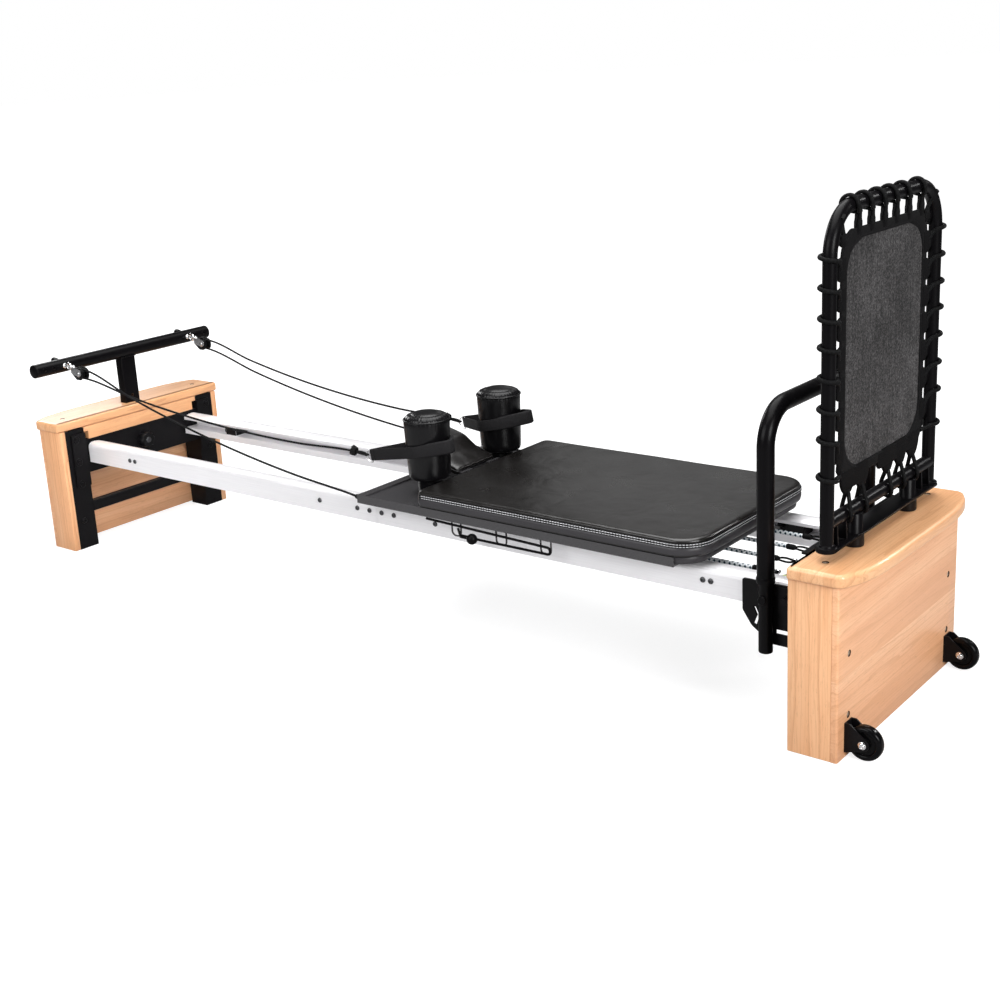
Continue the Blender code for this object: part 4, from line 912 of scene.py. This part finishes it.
mesh_rings = [[(REB_X + offset + 0.0004 * sin(31 * y) * cos(23 * z), y, z)
               for y, z in mat_outline(grow, 0.066)]
              for grow, offset in ((0.0175, -0.0007), (0.0175, 0.0007))]
mat = Solid().loft(mesh_rings).done("mat_mesh_panel", MESH, "rebounder", "mesh", "rebounder_mat")
border_rings = []
for grow, offset in ((0.0, 0.0012), (0.0, -0.0012), (0.0015, -0.0024), (0.01, -0.0026),
                     (0.0205, -0.0024), (0.0215, -0.0009), (0.0215, 0.0009), (0.0205, 0.0024),
                     (0.01, 0.0026), (0.0015, 0.0024)):
    corner = 0.05 + grow * 0.75
    border_rings.append([(REB_X + offset, y, z) for y, z in scalloped(mat_outline(grow, corner), 0.004)])
edge = Solid().loft(border_rings, closed=True).done("mat_border", BORDER, "rebounder", "mesh", (), 50)
stitches = Solid()
for grow in (0.0035, 0.018):
    outline = mat_outline(grow, 0.05 + grow * 0.75)
    for index in range(len(outline)):
        a, b = Vector(outline[index]), Vector(outline[(index + 1) % len(outline)])
        count = max(1, round((b - a).length / 0.006))
        for step in range(count):
            one, two = a.lerp(b, (step + 0.15) / count), a.lerp(b, (step + 0.75) / count)
            for face in (-0.0027, 0.0027):
                stitches.tube([(REB_X + face, one.x, one.y), (REB_X + face, two.x, two.y)], 0.0004, 5)
stitches = stitches.done("mat_stitches", WEBBING, "rebounder", "mesh")

# Tabs sewn over the border, and the elastic laced through them round the tubes.
tabs, lacing = Solid(), Solid()


def tab(y, z, out_y, out_z, width, length, tip=0.31):
    """A folded triangle of webbing from the border towards (out_y, out_z)."""
    out = Vector((0, out_y, out_z)).normalized()
    across = Vector((0, -out.z, out.y))
    base = Vector((REB_X, y, z))
    rings = []
    for share, half, thick in ((-0.45, 0.52, 0.003), (0.0, 0.52, 0.0034), (0.35, 0.49, 0.0036),
                               (0.7, 0.4 * tip + 0.29, 0.0038), (0.95, 0.9 * tip + 0.04, 0.0038),
                               (1.0, tip, 0.003)):
        centre = base + out * length * share
        rings.append([centre + across * width * half * a + Vector((thick * b, 0, 0))
                      for a, b in ((-1, -0.7), (-0.8, -1), (0.8, -1), (1, -0.7), (1, 0.7), (0.8, 1),
                                   (-0.8, 1), (-1, 0.7))])
    tabs.loft(rings)


def elastic_loop(y, tab_z, tube_z, lean, width=0.01, thick=0.0068):
    """An elastic from its tab up over the top tube and back; it leans by an amount in y."""
    reach = TUBE + 0.5 * thick + 0.0003
    up = tube_z - tab_z
    neck = up - reach - 0.0015
    route = [(0.0031, share * neck, 0.0, wide) for share, wide in
             ((0.0, 1.55), (0.42, 1.5), (0.55, 1.15), (0.66, 0.78), (0.85, 0.76), (1.0, 0.8))]
    wrap = []
    for degrees in range(-75, 256, 15):
        turn = radians(degrees)
        rise = min(1.0, (degrees + 95) / 95, (275 - degrees) / 95)
        wrap.append((reach * cos(turn), up + reach * sin(turn), lean * rise * rise * (3 - 2 * rise),
                     0.86 + 0.14 * rise))
    route += wrap + [(-x, height, shift, wide) for x, height, shift, wide in route[::-1]]
    points = [Vector((REB_X + x, y + shift, tab_z + height)) for x, height, shift, wide in route]
    rings, count = [], len(points)
    for index, (point, knot) in enumerate(zip(points, route)):
        wide = knot[3]
        tangent = (points[(index + 1) % count] - points[index - 1]).normalized()
        across = (Vector((0, 1, 0)) - tangent * tangent.y).normalized()
        normal = tangent.cross(across)
        high = thick * (0.8 if wide > 1.1 else 1.0)
        rings.append([point + across * a + normal * b
                      for a, b in oblong(width * wide, high, high * 0.46, 3)])
    lacing.loft(rings, closed=True)


# Six loops over the top tube lean towards -Y.
for y, lean in ((-0.122, -0.036), (-0.067, -0.036), (-0.011, -0.036), (0.042, -0.036), (0.1, -0.036),
                (0.158, -0.022)):
    tab(y, 0.9665, 0, 1, 0.018, 0.012)
    elastic_loop(y, 0.972, 1.018, lean)


def hanging_loop(y, top, front, back):
    """A cord from a tab down in front of the lower tube, under it and up behind it."""
    reach = TUBE + 0.0044
    route = [(0.0012, 0.006, 0), (0.003, 0.0, 0)]
    for degrees in range(-30, 211, 15):
        turn = radians(degrees)
        shift = front + (back - front) * (0.5 - 0.5 * cos(turn))
        route.append((reach * cos(turn), REB_LOWER - reach * sin(turn) - top, shift))
    route += [(-0.003, 0.0, 0), (-0.0012, 0.006, 0)]
    points = [(REB_X + x, y + shift, top + height) for x, height, shift in route]
    lacing.tube(points, 0.0041, 10, True)


# Under the mat five cords hang from narrow tabs, between three broad ones.
for y, top, front, back in ((-0.151, 0.4855, -0.018, 0.016), (-0.09, 0.4835, -0.01, 0.02),
                            (0.028, 0.481, -0.016, 0.013), (0.088, 0.4805, -0.013, 0.019),
                            (0.147, 0.483, -0.01, 0.022)):
    tab(y, 0.517, 0, -1, 0.056, 0.517 - top - 0.001, 0.22)
    hanging_loop(y, top, front, back)
tab(-0.1205, 0.517, 0, -1, 0.088, 0.024, 0.46)
tab(0.027, 0.517, 0, -1, 0.1, 0.021, 0.4)
tab(0.118, 0.517, 0, -1, 0.075, 0.017, 0.42)
for side in (-1, 1):
    gusset = [(side * y, z) for y, z in ((0.192, 0.566), (0.197, 0.538), (0.157, 0.4875),
                                         (0.146, 0.49), (0.15, 0.53), (0.176, 0.566))]
    tabs.prism(gusset, "x", REB_X - 0.0022, REB_X + 0.0022, 0.0008, 1)

HEIGHTS = (0.934, 0.88, 0.826, 0.774, 0.719, 0.662, 0.606, 0.536)
for side in (-1, 1):
    knots = []
    reach = TUBE + 0.0044
    for number, height in enumerate(HEIGHTS):
        over = height + (0.5 * (HEIGHTS[number - 1] - height) if number else 0.03)
        below = height - (0.5 * (height - HEIGHTS[number + 1]) if number < 7 else 0.01)
        if number == 0:
            knots.append((REB_X, side * 0.187, over))
            tab(side * 0.181, over - 0.006, side, 0.15, 0.024, 0.015)
        if number < 7:
            tab(side * 0.184, below, side, 0, 0.044, 0.021)
        for degrees in (-55, -15, 25, 90, 155, 195, 235):
            turn = radians(degrees)
            knots.append((REB_X - reach * cos(turn), side * (REB_HALF + reach * sin(turn)),
                          height + 0.006 - 0.012 * (degrees + 55) / 290))
        knots.append((REB_X, side * (0.1955 if number < 7 else 0.1845), below))
    lacing.tube(smooth_route(knots, 0.004), 0.0042, 9)
    corner_y = side * 0.176
    lacing.sweep(smooth_route([(REB_X + 0.001, corner_y, 0.955), (REB_X + 0.002, side * 0.188, 0.975),
                               (REB_X + 0.006, side * 0.2, 0.99), (REB_X + 0.0125, side * 0.209, 1.004)],
                              0.004), oblong(0.011, 0.005, 0.0022, 3), False, Vector((1, 0, 0)))
lacing.done("mat_elastic_lacing", BUNGEE, "rebounder", "elastic", (), 50)
mat_tabs = tabs.done("mat_tabs", TAB, "rebounder", "mesh", (), 50)

# ---------------------------------------------------------------- transport wheels
WHEEL_X, WHEEL_Y, WHEEL_Z = 1.254, 0.24, 0.0355
for name, side in SIDES.items():
    y = side * WHEEL_Y
    rim = []
    for sign in (1, -1):
        half_rim = [(0.0044, 0.0095), (0.012, 0.0095), (0.0128, 0.0078), (0.0225, 0.0074),
                 (0.024, 0.0098), (0.0262, 0.011)]
        half_rim += [(0.0272 + 0.0078 * sin(radians(a)), 0.0032 + 0.0078 * cos(radians(a)))
                  for a in range(0, 91, 15)]
        rim += [(r, sign * h) for r, h in half_rim[::sign]]
    Solid().lathe(rim, (WHEEL_X, y, WHEEL_Z), (0, 1, 0), 64, closed=True).done(
        f"wheel_tyre_{name}", GLOSS, f"transport_wheel_{name}", "rubber", f"transport_wheel_{name}", 30)
    axle = Solid()
    for sign in (-1, 1):
        axle.lathe([(0.008, 0.0156), (0.008, 0.0166), (0.0072, 0.0168), (0.0066, 0.0172),
                    (0.0064, 0.0192), (0.005, 0.0206), (0.003, 0.0209), (0.0027, 0.019),
                    (0.00005, 0.0189)], (WHEEL_X, y, WHEEL_Z), (0, sign, 0), 28)
    axle.done(f"wheel_axle_{name}", CHROME, "frame", "chrome")

# ---------------------------------------------------------------- travel stops at the head end
for name, side in SIDES.items():
    ys = sorted((side * 0.1514, side * 0.1979))
    buffer = Solid()
    buffer.block((-0.9305, ys[0], 0.2652), (-0.8866, ys[1], 0.289), 0.0022, 3)
    buffer.lathe([(0.00005, 0.0), (0.0118, 0.0), (0.0118, 0.005), (0.0106, 0.0066), (0.0052, 0.007),
                  (0.005, 0.0052), (0.00005, 0.005)], (-0.93, side * 0.164, 0.2772), (-1, 0, 0), 32)
    buffer.done(f"rail_buffer_{name}", RUBBER, "frame", "rubber")
    Solid().lathe([(0.00005, 0.0), (0.0042, 0.0), (0.0042, 0.0018), (0.003, 0.0032), (0.00005, 0.0036)],
                  (-0.935, side * 0.164, 0.2772), (-1, 0, 0), 24).done(
        f"rail_buffer_bolt_{name}", CHROME, "frame", "chrome")

# ---------------------------------------------------------------- carriage cushion
CUSHION = [(0.1725, -0.248, 0.018), (0.9, -0.248, 0.066), (0.9, 0.248, 0.066),
           (0.1725, 0.248, 0.018)]
SEAMS = (0.352, 0.3568)                          # heights of the two rows of piping


def dense_outline(corners, spacing, steps=16):
    """A rounded outline with points close together on its straight sides as well."""
    outline = rounded(corners, steps)
    points = []
    for index, (x, y) in enumerate(outline):
        a, b = Vector((x, y)), Vector(outline[(index + 1) % len(outline)])
        count = max(1, round((b - a).length / spacing))
        points += [a.lerp(b, step / count) for step in range(count)]
    return points


def upholstered(outline, centre, sides, crown, shares, wrinkle):
    """Rings up the sides of a pad and then over its crowned top to the centre.

    sides is (inset, height); crown(share) is the height of the top at a share of the way out.
    """
    rings = []
    for amount, z in sides:
        rings.append([(p.x, p.y, z + wrinkle(p.x, p.y, z)) for p in inset(outline, amount)])
    last = inset(outline, sides[-1][0])
    for share in shares:
        ring = []
        for point in last:
            x, y = centre[0] + (point.x - centre[0]) * share, centre[1] + (point.y - centre[1]) * share
            z = crown(share)
            ring.append((x, y, z + wrinkle(x, y, z)))
        rings.append(ring)
    return rings


def ripple(x, y, z):
    """Slow unevenness of foam under vinyl."""
    return 0.0007 * noise.noise(Vector((x * 9, y * 9, 0.3))) if z > 0.364 else 0.0


outline = dense_outline(CUSHION, 0.012)
profile = [(0.0045, 0.3302), (0.0015, 0.3306), (0.0, 0.3325), (-0.001, 0.3385), (-0.0012, 0.344),
           (-0.0004, 0.3485), (0.0012, 0.35), (0.0018, 0.3507), (0.0002, 0.3545), (0.0018, 0.3582),
           (0.001, 0.3592), (0.0004, 0.361), (0.0012, 0.3636), (0.0038, 0.3659), (0.0085, 0.3673)]
cushion = Solid().loft(upholstered(
    outline, (0.536, 0), profile, lambda share: 0.369 - 0.0018 * share ** 6,
    (0.985, 0.96, 0.92, 0.86, 0.78, 0.68, 0.56, 0.42, 0.28, 0.14, 0.02), ripple))
cushion = cushion.done("cushion_pad", VINYL, "carriage", "vinyl", "carriage_cushion", 60)
piping = Solid()
for z in SEAMS:
    piping.tube([(p.x, p.y, z) for p in inset(outline, 0.0002)], 0.002, 8, True)
piping.done("cushion_piping", VINYL_ROLL, "carriage", "vinyl")
# Stitches on the outside of both rows of piping, light grey: real thread plus painted highlight along the
# piping.
seam = Solid()
for amount, z in ((-0.0018, 0.3572), (-0.0018, 0.3524)):
    line = inset(dense_outline(CUSHION, 0.007, 16), amount)
    for a, b in zip(line, line[1:] + line[:1]):
        if (b - a).length > 0.003:
            seam.tube([(*a.lerp(b, 0.12), z), (*a.lerp(b, 0.8), z)], 0.0008, 6)
seam.done("cushion_stitching", THREAD_AND_HIGHLIGHT, "carriage", "vinyl")

# The lower side band of the cushion takes the greyer vinyl copy: painted light on its lit side.
wall = [(0.0002, 0.3328), (-0.0016, 0.3385), (-0.0018, 0.344), (-0.001, 0.3483), (0.0004, 0.3496)]
wall += [(amount + 0.0012, z) for amount, z in wall[::-1]]
Solid().loft([[(p.x, p.y, z) for p in inset(outline, amount)] for amount, z in wall], closed=True).done(
    "cushion_side_band", VINYL_LIT_SIDE, "carriage", "vinyl")

# The board under the cushion, with its own rounded vinyl lip, in the greyer vinyl copy: painted light on its
# lit side.
board_outline = dense_outline([(0.1732, -0.2432, 0.004), (0.89, -0.2432, 0.06),
                               (0.89, 0.2432, 0.06), (0.1732, 0.2432, 0.004)], 0.02)
lip = [(0.004, 0.3131), (0.0012, 0.3137), (0.0, 0.3155), (-0.0006, 0.321), (0.0, 0.3268),
       (0.0012, 0.3286), (0.004, 0.3294)]
Solid().loft([[(p.x, p.y, z) for p in inset(board_outline, amount)] for amount, z in lip]).done(
    "cushion_board", VINYL_LIT_SIDE, "carriage", "plastic", "carriage_board", 50)

# ---------------------------------------------------------------- headrest
HINGE_X, HINGE_Z, TILT = 0.16, 0.3575, radians(15)
tipped = Matrix.Translation((HINGE_X, 0, HINGE_Z)) @ Matrix.Rotation(TILT, 4, "Y")
pillow_outline = dense_outline([(-0.194, -0.071, 0.034), (-0.011, -0.071, 0.01),
                                (-0.011, 0.071, 0.01), (-0.194, 0.071, 0.034)], 0.006)


def pillow_height(x, edge):
    """Low by the hinge, then a full pillow from half way; edge is 0 at the rim and 1 inside."""
    full = min(1.0, max(0.0, (-x - 0.055) / 0.055))
    full = full * full * (3 - 2 * full)
    return 0.004 + (0.0075 + 0.0225 * full) * edge


rings = []
for amount, z in ((0.004, -0.0088), (0.001, -0.008), (0.0, -0.006), (0.0, -0.001), (0.0006, 0.0)):
    rings.append([(p.x, p.y, z) for p in inset(pillow_outline, amount)])
for share, edge in ((0.998, 0.08), (0.992, 0.22), (0.975, 0.42), (0.94, 0.62), (0.88, 0.78), (0.8, 0.89),
                    (0.68, 0.96), (0.52, 0.99), (0.34, 1.0), (0.16, 1.0), (0.02, 1.0)):
    ring = []
    for point in pillow_outline:
        x, y = -0.1025 + (point.x + 0.1025) * share, point.y * share
        z = pillow_height(x, edge)
        z += 0.0012 * edge * noise.noise(Vector((x * 34, y * 34, 1.7)))
        ring.append((x, y, z))
    rings.append(ring)
headrest = Solid().loft(rings).move(tipped)
headrest = headrest.done("headrest_pad", VINYL, "headrest", "vinyl", "headrest", 60)
trim = Solid().tube([(p.x, p.y, 0.0004) for p in inset(pillow_outline, -0.0004)], 0.0016, 8, True)
trim.move(tipped).done("headrest_piping", VINYL_ROLL, "headrest", "vinyl")
leaf = Solid().block((-0.016, -0.027, -0.004), (-0.001, 0.027, -0.0016), 0.0004)
leaf.tube([(0, -0.028, 0), (0, 0.028, 0)], 0.0044, 20).move(tipped)
leaf.done("headrest_hinge_leaf", STEEL, "headrest", "black_steel")
strip = Solid().block((0.156, -0.09, 0.3515), (0.1712, 0.09, 0.3535), 0.0005)
for number in range(5):
    strip.lathe([(0.0034, 0.0), (0.0032, 0.001), (0.0018, 0.0016), (0.00005, 0.0015)],
                (0.1665, -0.078 + 0.039 * number, 0.3535), sides=14)
strip.done("hinge_strip", BOLT, "carriage", "black_steel")

# ---------------------------------------------------------------- shoulder rests
REST_X, REST_Y, SEAM = 0.1205, 0.135, 0.503
for name, side in SIDES.items():
    body_profile = [(0.027, 0.3259), (0.0285, 0.328), (0.029, 0.356), (0.033, 0.36),
                    (0.043, 0.3625), (0.0478, 0.3665), (0.0494, 0.3725), (0.05, 0.385),
                    (0.0508, 0.405), (0.0514, 0.425), (0.052, 0.445), (0.0526, 0.465), (0.0531, 0.48),
                    (0.0533, 0.49), (0.0532, 0.496), (0.0526, 0.5), (0.052, 0.503),
                    (0.0514, 0.5062), (0.05, 0.509), (0.047, 0.512), (0.043, 0.5142),
                    (0.0395, 0.515), (0.0372, 0.5148), (0.0352, 0.5158), (0.033, 0.5172),
                    (0.029, 0.5186), (0.023, 0.5198), (0.015, 0.5206), (0.007, 0.5209),
                    (0.0004, 0.521)]
    rings = []
    for radius, z in body_profile:
        ring = []
        for step in range(144):
            turn = 2 * pi * step / 144
            near = exp(-((z - SEAM) / 0.011) ** 2)
            drift = noise.noise(Vector((cos(turn) * 2.1, sin(turn) * 2.1, side + z * 7)))
            pucker = 0.0008 * near * sin(46 * turn + 5 * drift)
            wave = 0.0007 * drift if 0.37 < z < SEAM else 0.0
            r = radius + (pucker + wave if radius > 0.03 else 0)
            ring.append((REST_X + r * cos(turn), side * REST_Y + r * sin(turn),
                         z + (0.0005 * near * cos(31 * turn + 4 * drift) if radius > 0.03 else 0)))
        rings.append(ring)
    rest = Solid().loft(rings).done(f"shoulder_pad_{name}", VINYL_ROLL, "carriage", "vinyl",
                                    f"shoulder_rest_{name}", 60)
    cord_ring = []
    for step in range(120):
        turn = 2 * pi * step / 120
        radius = 0.0532 + 0.0003 * sin(46 * turn)
        cord_ring.append((REST_X + radius * cos(turn), side * REST_Y + radius * sin(turn), SEAM))
    Solid().tube(cord_ring, 0.0023, 10, True).done(f"shoulder_piping_{name}", VINYL_ROLL, "carriage",
                                                   "vinyl")

# ---------------------------------------------------------------- straps
STRAP_WIDTH, STRAP_THICK, STRAP_TILT = 0.027, 0.003, radians(11)
for name, side in SIDES.items():
    tilt = (Matrix.Translation((0.085, 0, 0.428)) @ Matrix.Rotation(-STRAP_TILT, 4, "Y")
            @ Matrix.Translation((-0.085, 0, 0)))
    middle = STRAP_THICK / 2
    circles = [(Vector((-0.024, side * 0.173)), 0.004 + middle),
               (Vector((0.1915, side * 0.15)), 0.012 + middle),
               (Vector((REST_X, side * REST_Y)), 0.0565 + middle)]
    support = []
    for degrees in range(0, 360, 6):
        out = Vector((cos(radians(degrees)), sin(radians(degrees))))
        point = max((centre + out * size for centre, size in circles), key=lambda p: p.dot(out))
        if not support or (point - support[-1]).length > 0.0008:
            support.append(point)
    path = []
    for a, b in zip(support, support[1:] + support[:1]):
        count = max(1, round((b - a).length / 0.012))
        path += [Vector((*a.lerp(b, step / count), 0)) for step in range(count)]
    sections = []
    for point in path:                           # the grip end is a padded sleeve
        full = min(1.0, max(0.0, (point.x - 0.146) / 0.018))
        full = full * full * (3 - 2 * full)
        thick, wide = STRAP_THICK * 0.92 + 0.0064 * full, STRAP_WIDTH + 0.005 * full
        sections.append(oblong(thick, wide, 0.0011 + 0.003 * full, 3))
    band = Solid().sweep(path, sections, True, Vector((0, 0, 1)))
    band.move(tilt).done(f"strap_band_{name}", WEBBING, "carriage", "webbing", f"strap_{name}", 50)
    thread = Solid()
    for x in (-0.016, -0.006, 0.002):
        for number in range(7):
            z = -0.011 + 0.0034 * number
            thread.tube([(x, side * 0.1812, z), (x + 0.0005, side * 0.1812, z + 0.0022)], 0.0005, 6)
    thread.move(tilt).done(f"strap_thread_{name}", PLASTIC, "carriage", "webbing")
    ring_path = [(-0.0235, side * 0.1735, z) for z in (0.3905, 0.399, 0.4065, 0.415)]
    ring_path += [(-0.0245 - 0.0185 * sin(radians(a)), side * 0.1737,
                   0.4028 + 0.015 * cos(radians(a))) for a in range(0, 181, 12)]
    metal = Solid().tube(ring_path, 0.0014, 10, True)
    metal.done(f"strap_ring_{name}", CHROME, "carriage", "chrome")

# ---------------------------------------------------------------- slide wire
WIRE_Y = -0.242
wire = Solid().tube(bent([(0.196, WIRE_Y, 0.3035), (0.541, WIRE_Y, 0.293), (0.541, WIRE_Y, 0.278),
                          (0.294, WIRE_Y, 0.278), (0.288, WIRE_Y, 0.2955)], 0.007, 8), 0.0029, 14)
wire.lathe([(0.0124 * cos(radians(a)), 0.0124 * sin(radians(a)))
            for a in range(-88, 89, 11)], (0.33, WIRE_Y - 0.004, 0.278), (1, 0, 0), 28)
wire.lathe([(0.004, 0.0), (0.0046, 0.001), (0.0046, 0.03), (0.004, 0.031)], (0.294, WIRE_Y, 0.278),
           (1, 0, 0), 20)
wire.done("slide_wire_rod", TUBE_COAT, "slide_wire", "black_steel", "slide_wire")

# ---------------------------------------------------------------- ropes
ROPE_R, GROOVE = 0.0027, 0.0098                   # GROOVE is the radius the rope runs on
ANCHOR_X, NEAR_X, BLOCK_X = -1.0, -1.036, -1.056


def rope_knots(name):
    """The route of part.py: from the strap's ring round the sheave and back to the corner."""
    wrap = GROOVE + ROPE_R + 0.0004
    y = PULLEY_Y
    ring_end = [(-0.0515, 0.174, 0.406), (-0.0745, 0.1745, 0.4075)]
    corner_end = [(-0.0185, 0.235, 0.319), (-0.04, 0.235, 0.322)]
    top, bottom = SHEAVE_Z + wrap, SHEAVE_Z - wrap
    to_ring, to_corner = (bottom, top) if name == "right" else (top, bottom)

    def hanging(start, end, sag=0.03, steps=5):
        start, end = Vector(start), Vector(end)
        return [start.lerp(end, t) - Vector((0, 0, 4 * sag * t * (1 - t)))
                for t in (step / steps for step in range(1, steps))]

    leave = SHEAVE_X + 0.012
    out_ring, out_corner = (leave, y, to_ring - 0.0004), (leave, y, to_corner - 0.0012)
    swing = -1 if to_ring > SHEAVE_Z else 1
    around = [(SHEAVE_X - wrap * cos(t), y, SHEAVE_Z - swing * wrap * sin(t))
              for t in (radians(90 - 30 * step) for step in range(7))]
    knots = (ring_end + hanging(ring_end[-1], out_ring) + [out_ring] + around + [out_corner]
             + hanging(out_corner, corner_end[-1]) + corner_end[::-1])
    return [Vector((x, SIDES[name] * across, z)) for x, across, z in knots]


def shifted(points):
    return [Vector(point) - Vector((MID_X, 0, 0)) for point in points]


def until(points, x):
    """The first run of points up to where the path crosses x, and the rest, sharing one point."""
    sign = 1 if points[0].x > x else -1
    index = next(i for i, p in enumerate(points) if sign * (p.x - x) < 0)
    a, b = points[index - 1], points[index]
    cross = a.lerp(b, (x - a.x) / (b.x - a.x))
    return points[:index] + [cross], [cross] + points[index:]


def strand(name, points):
    made = Solid().tube(points, ROPE_R, 12).done(name, ROPE, None, "rope")
    return made


for name in SIDES:
    route = smooth_route(rope_knots(name), 0.006)
    ring_run, beyond = until(route, ANCHOR_X)
    ring_short, beyond = until(beyond, NEAR_X)
    turn_count = max(i for i, p in enumerate(beyond) if p.x < NEAR_X)
    wrap_run = beyond[:turn_count + 1]
    corner_short, corner_run = until(beyond[turn_count:], ANCHOR_X)
    wrap_piece = strand(f"rope_{name}_round_sheave", wrap_run)
    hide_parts(f"rope_{name}")
    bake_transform(wrap_piece)
    for label, run in (("ring", ring_short), ("corner", corner_short)):
        piece = strand(f"rope_{name}_{label}_lead", run)
        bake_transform(piece)
    for label, run, end_x in (("ring", ring_run, ring_run[0].x), ("corner", corner_run, corner_run[-1].x)):
        piece = strand(f"rope_{name}_{label}_run", run)
        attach(piece, "frame")
        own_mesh(piece)

# Fittings where the ropes meet the carriage.
for name, side in SIDES.items():
    fitting = Solid()
    # A stopper knot, then the rope doubled through the ring.
    for turn_x, lift, size in ((-0.088, 0.0, 0.0054), (-0.0835, 0.0012, 0.0068), (-0.079, 0.0, 0.0058)):
        fitting.tube([(turn_x + 0.003 * sin(t), side * 0.1745 + size * cos(t),
                       0.4082 + lift + (size + 0.0022) * sin(t))
                      for t in turns(15)], 0.0034, 10, True)
    fitting.tube([(-0.08, side * 0.1745, 0.415), (-0.0835, side * 0.174, 0.4205),
                  (-0.088, side * 0.1745, 0.4165)], 0.0034, 10)
    for shift in (-0.002, 0.0024):
        fitting.tube([(-0.08, side * 0.1745, 0.4078 + 0.5 * shift), (-0.062, side * 0.1743, 0.4066 + shift),
                      (-0.048, side * 0.174, 0.4055 + shift), (-0.042, side * 0.1738, 0.4048 + 0.5 * shift)],
                     0.0025, 10)
    fitting.tube([(-0.0425 + 0.004 * cos(t), side * 0.1737 + 0.0044 * sin(t), 0.404)
                  for t in turns(20)], 0.0022, 8, True)
    fitting.done(f"rope_end_{name}", ROPE, "carriage", "rope")
    corner = Solid()
    corner.lathe([(0.0046, 0.0), (0.006, 0.002), (0.006, 0.01), (0.0044, 0.014)],
                 (-0.015, side * 0.235, 0.3185), (-1, 0, 0.14), 18)
    corner.done(f"rope_corner_end_{name}", PLASTIC, "carriage", "plastic")

# ---------------------------------------------------------------- elastic cords
ELASTIC_YS, ELASTIC_Z = (-0.108, -0.036, 0.04, 0.115), 0.283
ELASTIC_START, ELASTIC_END = 0.1, 0.955
for number, y in enumerate(ELASTIC_YS, 1):
    points = [Vector((ELASTIC_START + (ELASTIC_END - ELASTIC_START) * t / 60,
                      y + 0.0015 * sin(7 * t / 60 + number), ELASTIC_Z)) for t in range(61)]
    elastic = Solid().tube(points, 0.0044, 14).done(f"elastic_{number}", ELASTIC, None, "elastic")
    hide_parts(f"elastic_cord_{number}")
    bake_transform(elastic)
    end = Solid()
    end.lathe([(0.0046, 0.0), (0.0062, 0.002), (0.0062, 0.016), (0.005, 0.02)],
              (0.948, y + 0.0015 * sin(7 * 0.99 + number), ELASTIC_Z), (1, 0, 0), 20)
    loop = [(0.985 + 0.019 * cos(t), y + 0.0095 * sin(t), ELASTIC_Z + 0.0006 * cos(3 * t))
            for t in turns(12)]
    end.tube(loop, 0.0022, 10, True)
    end.done(f"elastic_end_{number}", BUNGEE, "frame", "elastic")
    hook = Solid()
    hook.tube(smooth_route([(1.003, y, ELASTIC_Z - 0.004), (1.0095, y, ELASTIC_Z + 0.0035),
                            (1.0035, y, ELASTIC_Z + 0.0055), (0.9985, y, ELASTIC_Z - 0.001),
                            (1.006, y, ELASTIC_Z - 0.006), (1.03, y, ELASTIC_Z),
                            (1.085, y, ELASTIC_Z), (1.11, y, ELASTIC_Z)], 0.002), 0.0022, 12)
    hook.lathe([(0.0055, 0.0), (0.006, 0.001), (0.006, 0.004), (0.005, 0.0052)],
               (1.1058, y, ELASTIC_Z), (1, 0, 0), 6)
    hook.done(f"elastic_hook_{number}", CHROME, "frame", "chrome")
    if number in (1, 2, 4):
        flag = Solid().block((1.018, y - 0.01, ELASTIC_Z - 0.002), (1.036, y - 0.0025, ELASTIC_Z - 0.0008),
                             0.0004)
        flag.done(f"elastic_tag_{number}", BLUE_TAG if number == 4 else GREEN_TAG, "frame", "elastic")
